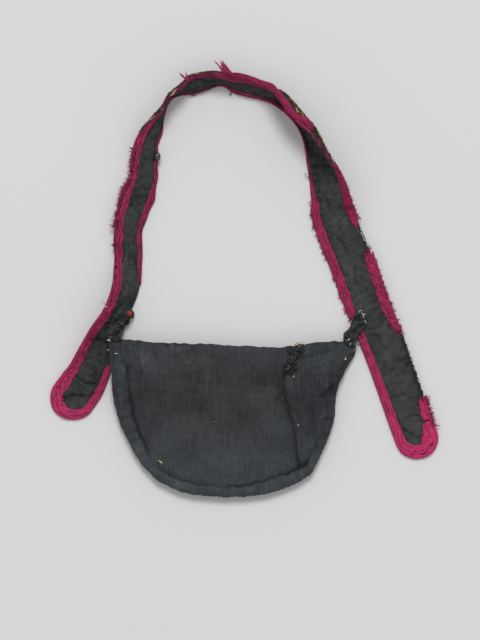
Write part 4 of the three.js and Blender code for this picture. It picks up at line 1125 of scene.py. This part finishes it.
# How each tie is folded: how many wound folds, how far they wind, depth and size of the crumples.
tieSizes = {
    "right_tie": {"folds": 4, "wind": 6.0, "crumple": 0.2, "grain": 1.0},
    "left_tie": {"folds": 3, "wind": 3.4, "crumple": 0.5, "grain": 0.6}}
tieGrid = {"along": 160, "sides": 110, "fold": 0.26, "long": 42.0}


# A tie: an oval carried along its path, with folds that wind round it and creases where a crumple passes
# zero.
def twistedTie(name, node, seed):
    size, rows = {**tieGrid, **tieSizes[node]}, tieRows[node]
    at = np.linspace(0, len(rows) - 1, size["along"])
    path = catmull(rows[:, :3], at)[:, None]
    wide, high, tilt = catmull(rows[:, 3:], at).T[..., None]
    level = unit(np.cross(unit(np.gradient(path, axis=0)), up))
    tilt = np.radians(tilt)[..., None]
    across, upright = level * np.cos(tilt) - up * np.sin(tilt), level * np.sin(tilt) + up * np.cos(tilt)
    turn = np.linspace(0, tau, size["sides"], endpoint=False)[None]
    share = np.linspace(0, 1, size["along"])[:, None]
    a, b = share * size["long"] + 4 * np.sin(turn), 8 * np.cos(turn)
    wound = np.abs(np.sin(size["folds"] / 2 * turn + size["wind"] * share + 0.5 * crumple(a, b, 16, seed)))
    valley = (1 - wound) ** 1.5
    grain = size["grain"]
    creases = (bell(crumple(a, b, 12 * grain, seed + 1), 0.25)
               + 0.6 * bell(crumple(a, b, 7 * grain, seed + 2), 0.25))
    rumple = 0.4 * crumple(a, b, 9 * grain, seed + 3) - 0.55 * creases
    rounded = np.sqrt(np.clip(np.minimum(share, 1 - share) / 0.05, 0.0, 1)) * 0.985 + 0.015  # at both ends
    skin = (1.06 - size["fold"] * valley + size["crumple"] * rumple) * rounded
    rings = (path + (skin * np.cos(turn) * wide)[..., None] * across
             + (skin * np.sin(turn) * high)[..., None] * upright)
    surfaces.append(rings)
    points, faces = closeRings(rings)
    uv = np.stack(np.broadcast_arrays(turn * 5.0, share * size["long"]), -1).reshape(-1, 2) * mm
    # painted shade in the valleys of the wound folds and in the creases
    wearAndShade = 0.52 - 0.5 * valley - 0.4 * creases + 0.15 * crumple(a, b, 10, seed + 4)
    makePiece(name, points, faces, tieCotton, uv, {"wearAndShade": wearAndShade.reshape(-1)}, [node])


twistedTie("leftTieCloth", "left_tie", 71)
twistedTie("rightTieCloth", "right_tie", 81)

mendSizes = {"across": 40, "along": 60, "clear": 0.35, "rise": 1.5, "threads": 110, "steps": 11,
             "thick": 0.45, "colour": "#2a2b2d"}
# The mend, from the mouth down: x, y, half width.
mendRows = np.array([
    [48.6, -60.5, 6.8], [45.8, -65, 5.6], [44.0, -71, 4.9], [42.4, -77.5, 5.2], [40.8, -83, 4.6]])


def mendAt(share):  # x, y and half width at a share of the mend's rows
    return np.moveaxis(catmull(mendRows, np.asarray(share) * (len(mendRows) - 1)), -1, 0)


# The mend's ground: a narrow pad over the panel, swelling in knots.
def mendPad():
    size = mendSizes
    u, v = np.linspace(-1, 1, size["across"])[None], np.linspace(0, 1, size["along"])[:, None]
    x, y, half = mendAt(v)
    rounded = np.sqrt(np.clip(np.minimum(v, 1 - v) / 0.08, 0.02, 1))
    half = half * (0.86 + 0.16 * ripple(v * 24, 6, 90)) * rounded
    x, y = x + u * half, y + 0 * u
    low = panelTop(x, y) + size["clear"]
    high = low + 0.3 + size["rise"] * (1 - u**4) * (0.55 + 0.35 * crumple(x, y, 4, 91))
    over = np.stack([x, y, np.maximum(high, low + 0.2)], -1)
    surfaces.append(over)
    sheetPiece("mendGround", over, np.stack([x, y, low], -1), np.stack([x, y], -1),
               {"wearAndShade": 0.1 * crumple(x, y, 4, 92)}, tieCotton, "mend")


# Darning: loops of thread, each part of an oval, laid over and under each other along the mend.
def mendThreads():
    size, dice = mendSizes, np.random.default_rng(93)
    count = size["threads"]
    x, y, half = mendAt(dice.uniform(0, 1, count))
    x, y = x + half * dice.uniform(-1, 1, count), y + dice.normal(0, 0.8, count)
    turn, sweep = dice.uniform(0, tau, (count, 1)), dice.uniform(2.4, 5.2, (count, 1))
    k = np.linspace(0, 1, size["steps"])[None]
    a, b = dice.uniform(1.1, 2.6, (count, 1)), dice.uniform(0.5, 1.3, (count, 1))
    ovalX, ovalY = a * np.cos(sweep * k), b * np.sin(sweep * k)
    px = x[:, None] + np.cos(turn) * ovalX - np.sin(turn) * ovalY
    py = y[:, None] + np.sin(turn) * ovalX + np.cos(turn) * ovalY
    lift = dice.uniform(0.2, 1.0, (count, 1)) * size["rise"]
    weave = 0.45 * np.sin(tau * k + dice.uniform(0, tau, (count, 1)))  # over and under
    pz = panelTop(px, py) + size["clear"] + 0.5 + lift + weave
    # each thread's tone is scaled at random, the pale ones up to over three times the dye: painted highlights
    # on the dark thread
    dyes = dye(size["colour"]) * dice.uniform(0.25, 1.0, (count, 1)) ** 2 * 3.4
    thick = size["thick"] * dice.uniform(0.7, 1.3, (count, 1))
    threadPiece("mendThreads", np.stack([px, py, pz], -1), thick, dyes, sewingThread)


mendPad()
mendThreads()

photoFrame = {"x": 243.5, "y": 281.0, "scale": 0.909}  # the pixel at the tables' origin, and mm a pixel


def fromPixel(px, py):  # a place in the photograph to the tables' frame, on the surface
    return (px - photoFrame["x"]) * photoFrame["scale"], (photoFrame["y"] - py) * photoFrame["scale"]


tagSizes = {"clear": 0.3, "arch": 1.2, "hang": 0.8, "tip": 1.6, "steps": 7}
# Loose ends, knots and stray stitches: place in the photograph, length, heading in degrees, bow, half
# thickness, colour.
tagRows = [
    (294, 374.5, 3.2, 60, 0.3, 0.55, "#c9bd57"), (293.4, 375.8, 2.4, 110, 0.3, 0.45, "#e4dcae"),
    (345.5, 358.5, 2.6, 75, 0.3, 0.5, "#cfc99a"), (345, 359.5, 1.8, 20, 0.3, 0.45, "#d9d4b0"),
    (160.3, 460.8, 3.2, -50, 0.2, 0.6, "#c9b75a"), (161.4, 461.6, 2.8, -45, 0.2, 0.5, "#f0ead0"),
    (285, 370.5, 1.8, 40, 0.3, 0.4, "#a9a9a5"), (117, 353.5, 3.4, -5, 0.1, 0.35, "#d8d8d4"),
    (109.6, 340, 2.6, 15, 0.3, 0.6, "#d9b98f"), (110.4, 340.6, 2.2, -30, 0.3, 0.5, "#e8cfae"),
    (109.2, 350, 1.8, 50, 0.3, 0.5, "#c8b48c"), (298, 424.5, 1.6, 60, 0.3, 0.4, "#cfcdb8"),
    (215, 421.5, 1.4, 10, 0.3, 0.35, "#8f999d"), (199.5, 397, 1.8, 80, 0.3, 0.4, "#5c2a33"),
    (138, 352, 1.4, 30, 0.3, 0.3, "#85898d"), (296, 344, 4.0, 35, 0.3, 0.4, "#a8805f"),
    (299.5, 343.2, 3.6, 20, 0.4, 0.4, "#d8a184"), (302.5, 344.6, 3.4, -15, 0.4, 0.4, "#c98b7c"),
    (300.4, 345.6, 3.0, 60, 0.3, 0.4, "#93695a"), (304, 343, 2.6, 0, 0.5, 0.35, "#e0b9a2"),
    (298, 346.5, 3.2, -40, 0.4, 0.4, "#9c8474"), (113.2, 386.5, 2.6, 80, 0.1, 0.6, "#a2452a"),
    (113.4, 389.5, 2.8, 95, 0.1, 0.6, "#93391f"), (114.0, 392.4, 2.4, 85, 0.1, 0.5, "#7c3526"),
    (116.5, 393, 2.0, 70, 0.2, 0.35, "#4a3550"), (119.5, 396, 2.0, 80, 0.2, 0.35, "#3f4a46"),
    (117, 398, 1.8, 20, 0.2, 0.35, "#553246"), (129.4, 313, 4.6, 65, 0.1, 0.8, "#a3401f"),
    (130.6, 314, 5.0, 65, 0.1, 0.8, "#b8481f"), (131.6, 315.2, 4.4, 65, 0.1, 0.7, "#8c351e"),
    (107, 307, 1.6, 20, 0.3, 0.45, "#f0e4d6"), (426.5, 420.6, 6.4, 12, 0.2, 0.5, "#26121a"),
    (360.2, 312, 3.4, 20, 0.9, 0.38, "#cfc3a2"), (364.5, 316, 3.8, 70, 0.9, 0.38, "#ddd2b4"),
    (366, 321.5, 3.4, 110, 0.8, 0.38, "#c7b98f"), (362.5, 313.5, 2.6, 150, 0.5, 0.36, "#e6ddc4"),
    (348.5, 340, 2.4, 30, 0.5, 0.45, "#d6d0c4"), (350, 344, 2.4, 80, 0.4, 0.42, "#c9b8b0"),
    (361.5, 341, 8.4, 25, 0.1, 0.3, "#a8566a"), (354, 350, 4.0, 50, 0.2, 0.3, "#a89a58"),
    (357, 345.5, 3.4, -30, 0.8, 0.36, "#201f1e"), (132, 149, 2.6, 150, 0.3, 0.8, "#2a2826"),
    (113.3, 245, 2.6, 170, 0.3, 0.8, "#3a2a28"), (116.5, 267.5, 3.6, 30, 0.4, 0.45, "#1c1517"),
    (114, 227, 2.4, 60, 0.5, 0.5, "#4c4a2e"), (118, 222, 2.4, 20, 0.5, 0.5, "#24261f"),
    (122.5, 200, 3.4, 70, 0.3, 0.55, "#24261f")]
straySizes = {"kink": 0.5, "arch": 0.6, "steps": 13}
# Longer loose threads: from and to in the photograph, heights there, sag sideways, half thickness, colour.
strayRows = [
    (190.5, 92.5, 195.5, 95.5, 3, 1, -1.4, 0.4, "#26262a"),
    (231, 87, 229.5, 95.5, 4, 1, 1.2, 0.42, "#232326"), (304, 174, 308, 179, 4, 2, 0.8, 0.3, "#2a2a28"),
    (313, 222, 318, 224, 3.5, 3, 0.6, 0.3, "#26262a"), (424, 404, 433, 417, 3, 1.5, -1.5, 0.3, "#b02e66"),
    (427, 412, 434, 428, 3, 1.5, -1.8, 0.3, "#8f2852"), (423, 398, 430, 404, 3, 2, -1.0, 0.28, "#c23a72"),
    (356, 214, 360, 219, 5, 4, 0.4, 0.34, "#7b4a32"),
    (107.2, 304.2, 103.2, 300.2, 17.6, 15.4, 0.7, 0.5, "#e3b9a8"),
    (107.4, 303.2, 104.6, 302.6, 18, 16.6, -0.5, 0.45, "#f0d6c4")]


# Tags: short bowed threads that lie on what is under them, arched at the middle and thin at both tips.
def looseTags():
    size = tagSizes
    pixelX, pixelY, long, turn, bow, thick = np.array([row[:6] for row in tagRows], float).T[..., None]
    x, y = fromPixel(pixelX, pixelY)
    turn = np.radians(turn)
    k = np.linspace(-0.5, 0.5, size["steps"])[None]
    arch = 0.25 - k**2
    bow = bow * long * arch * 2
    px = x + np.cos(turn) * long * k - np.sin(turn) * bow
    py = y + np.sin(turn) * long * k + np.cos(turn) * bow
    top = topOf(px, py)
    top = np.maximum(top, top.max(axis=1, keepdims=True) - size["hang"])  # none hangs down past an edge
    paths = np.stack([px, py, top + size["clear"] + size["arch"] * arch], -1)
    threadPiece("looseTags", paths, thick * (1 - size["tip"] * k**2), [dye(row[6]) for row in tagRows],
                silkThread)


# Stray threads: from one place to another, with a sag and a kink to the side and a low arch.
def strayThreads():
    size, columns = straySizes, np.array([row[:8] for row in strayRows], float).T[..., None]
    fromZ, toZ, sag, thick = columns[4:]
    (x, y), (endX, endY) = fromPixel(*columns[:2]), fromPixel(*columns[2:4])
    k = np.linspace(0, 1, size["steps"])[None]
    aheadX, aheadY = endX - x, endY - y
    long = np.hypot(aheadX, aheadY)
    aside = sag * np.sin(np.pi * k) + size["kink"] * np.sin(3 * np.pi * k)
    px, py = x + aheadX * k - aheadY / long * aside, y + aheadY * k + aheadX / long * aside
    pz = fromZ + (toZ - fromZ) * k + size["arch"] * np.sin(np.pi * k)
    threadPiece("strayThreads", np.stack([px, py, pz], -1), thick, [dye(row[8]) for row in strayRows],
                silkThread)


looseTags()
strayThreads()

beadSizes = {"along": 261, "across": 7.5, "round": 2.9, "long": 4.2, "gap": 0.15, "hole": 0.97, "sides": 40,
             "rings": 30}


# The bead: an oval turned about its long axis, cut off flat at the hole at both ends.
def edgeBead():
    size = beadSizes
    seat = onStrap(size["along"], size["across"], strapSizes["half"] + size["gap"] + size["round"])
    turn = np.linspace(0, tau, size["sides"], endpoint=False)[None]
    lift = np.linspace(-size["hole"], size["hole"], size["rings"])[:, None]
    wide = size["round"] * np.sqrt(1 - lift**2)
    points = seat + np.stack([wide * np.cos(turn), size["long"] * lift + 0 * turn, wide * np.sin(turn)], -1)
    points, faces = closeRings(points)
    makePiece("edgeBeadSeed", points, faces, beadSeed, nodes=["edge_bead"])


edgeBead()
print("ties, mend, bead and loose threads made")

# Floor, light and room: a pale studio sheet under a broad far lamp from the arch's side.
studio = {"floor": "#e5e5e6", "floorLow": "#e3e3e4", "floorGrain": 400, "floorHalf": 6.0, "lampEnergy": 585.0,
          "lampPlace": (0.3, 6.3, 9.0), "lampSize": 4.0, "room": 0.5}


# Matt studio paper: even and pale, with no gloss and hardly any blotch.
def studioPaper(name, look):
    material, add = newMaterial(name)
    place = add("TexCoord", {})["Object"]
    grain = add("TexNoise", {"Vector": place, "Scale": grainScale(look["floorGrain"]), "Detail": 1.0})["Fac"]
    tint = add("Mix", {0: grain, 6: dye(look["floorLow"]), 7: dye(look["floor"])}, data_type="RGBA")[2]
    paper = add("BsdfPrincipled", {"Base Color": tint, "Roughness": 1.0, "Specular IOR Level": 0.0})
    add("OutputMaterial", {"Surface": paper["BSDF"]})
    return material


wide = studio["floorHalf"]
floorMesh = bpy.data.meshes.new("studioFloor")
floorCorners = [(-wide, -wide, 0), (wide, -wide, 0), (wide, wide, 0), (-wide, wide, 0)]
floorMesh.from_pydata(floorCorners, [], [range(4)])
floorMesh.materials.append(studioPaper("mattStudioPaper", studio))
floor = bpy.data.objects.new("studioFloor", floorMesh)
bpy.context.scene.collection.objects.link(floor)
lamp = bpy.data.lights.new("softLamp", "AREA")
lamp.shape, lamp.size, lamp.energy = "DISK", studio["lampSize"], studio["lampEnergy"]
softLamp = bpy.data.objects.new("softLamp", lamp)
softLamp.location = studio["lampPlace"]
toBag = unit(-np.array(studio["lampPlace"]))
softLamp.rotation_euler = (np.arccos(-toBag[2]), 0, np.arctan2(toBag[1], toBag[0]) - np.pi / 2)
bpy.context.scene.collection.objects.link(softLamp)
room = bpy.data.worlds.new("paleRoom")
room.use_nodes = True
room.node_tree.nodes["Background"].inputs["Color"].default_value = (1, 1, 1, 1)
room.node_tree.nodes["Background"].inputs["Strength"].default_value = studio["room"]
bpy.context.scene.world = room
bpy.context.scene.view_settings.view_transform = "Standard"
bpy.context.scene.view_settings.look = "None"
print("stage set")
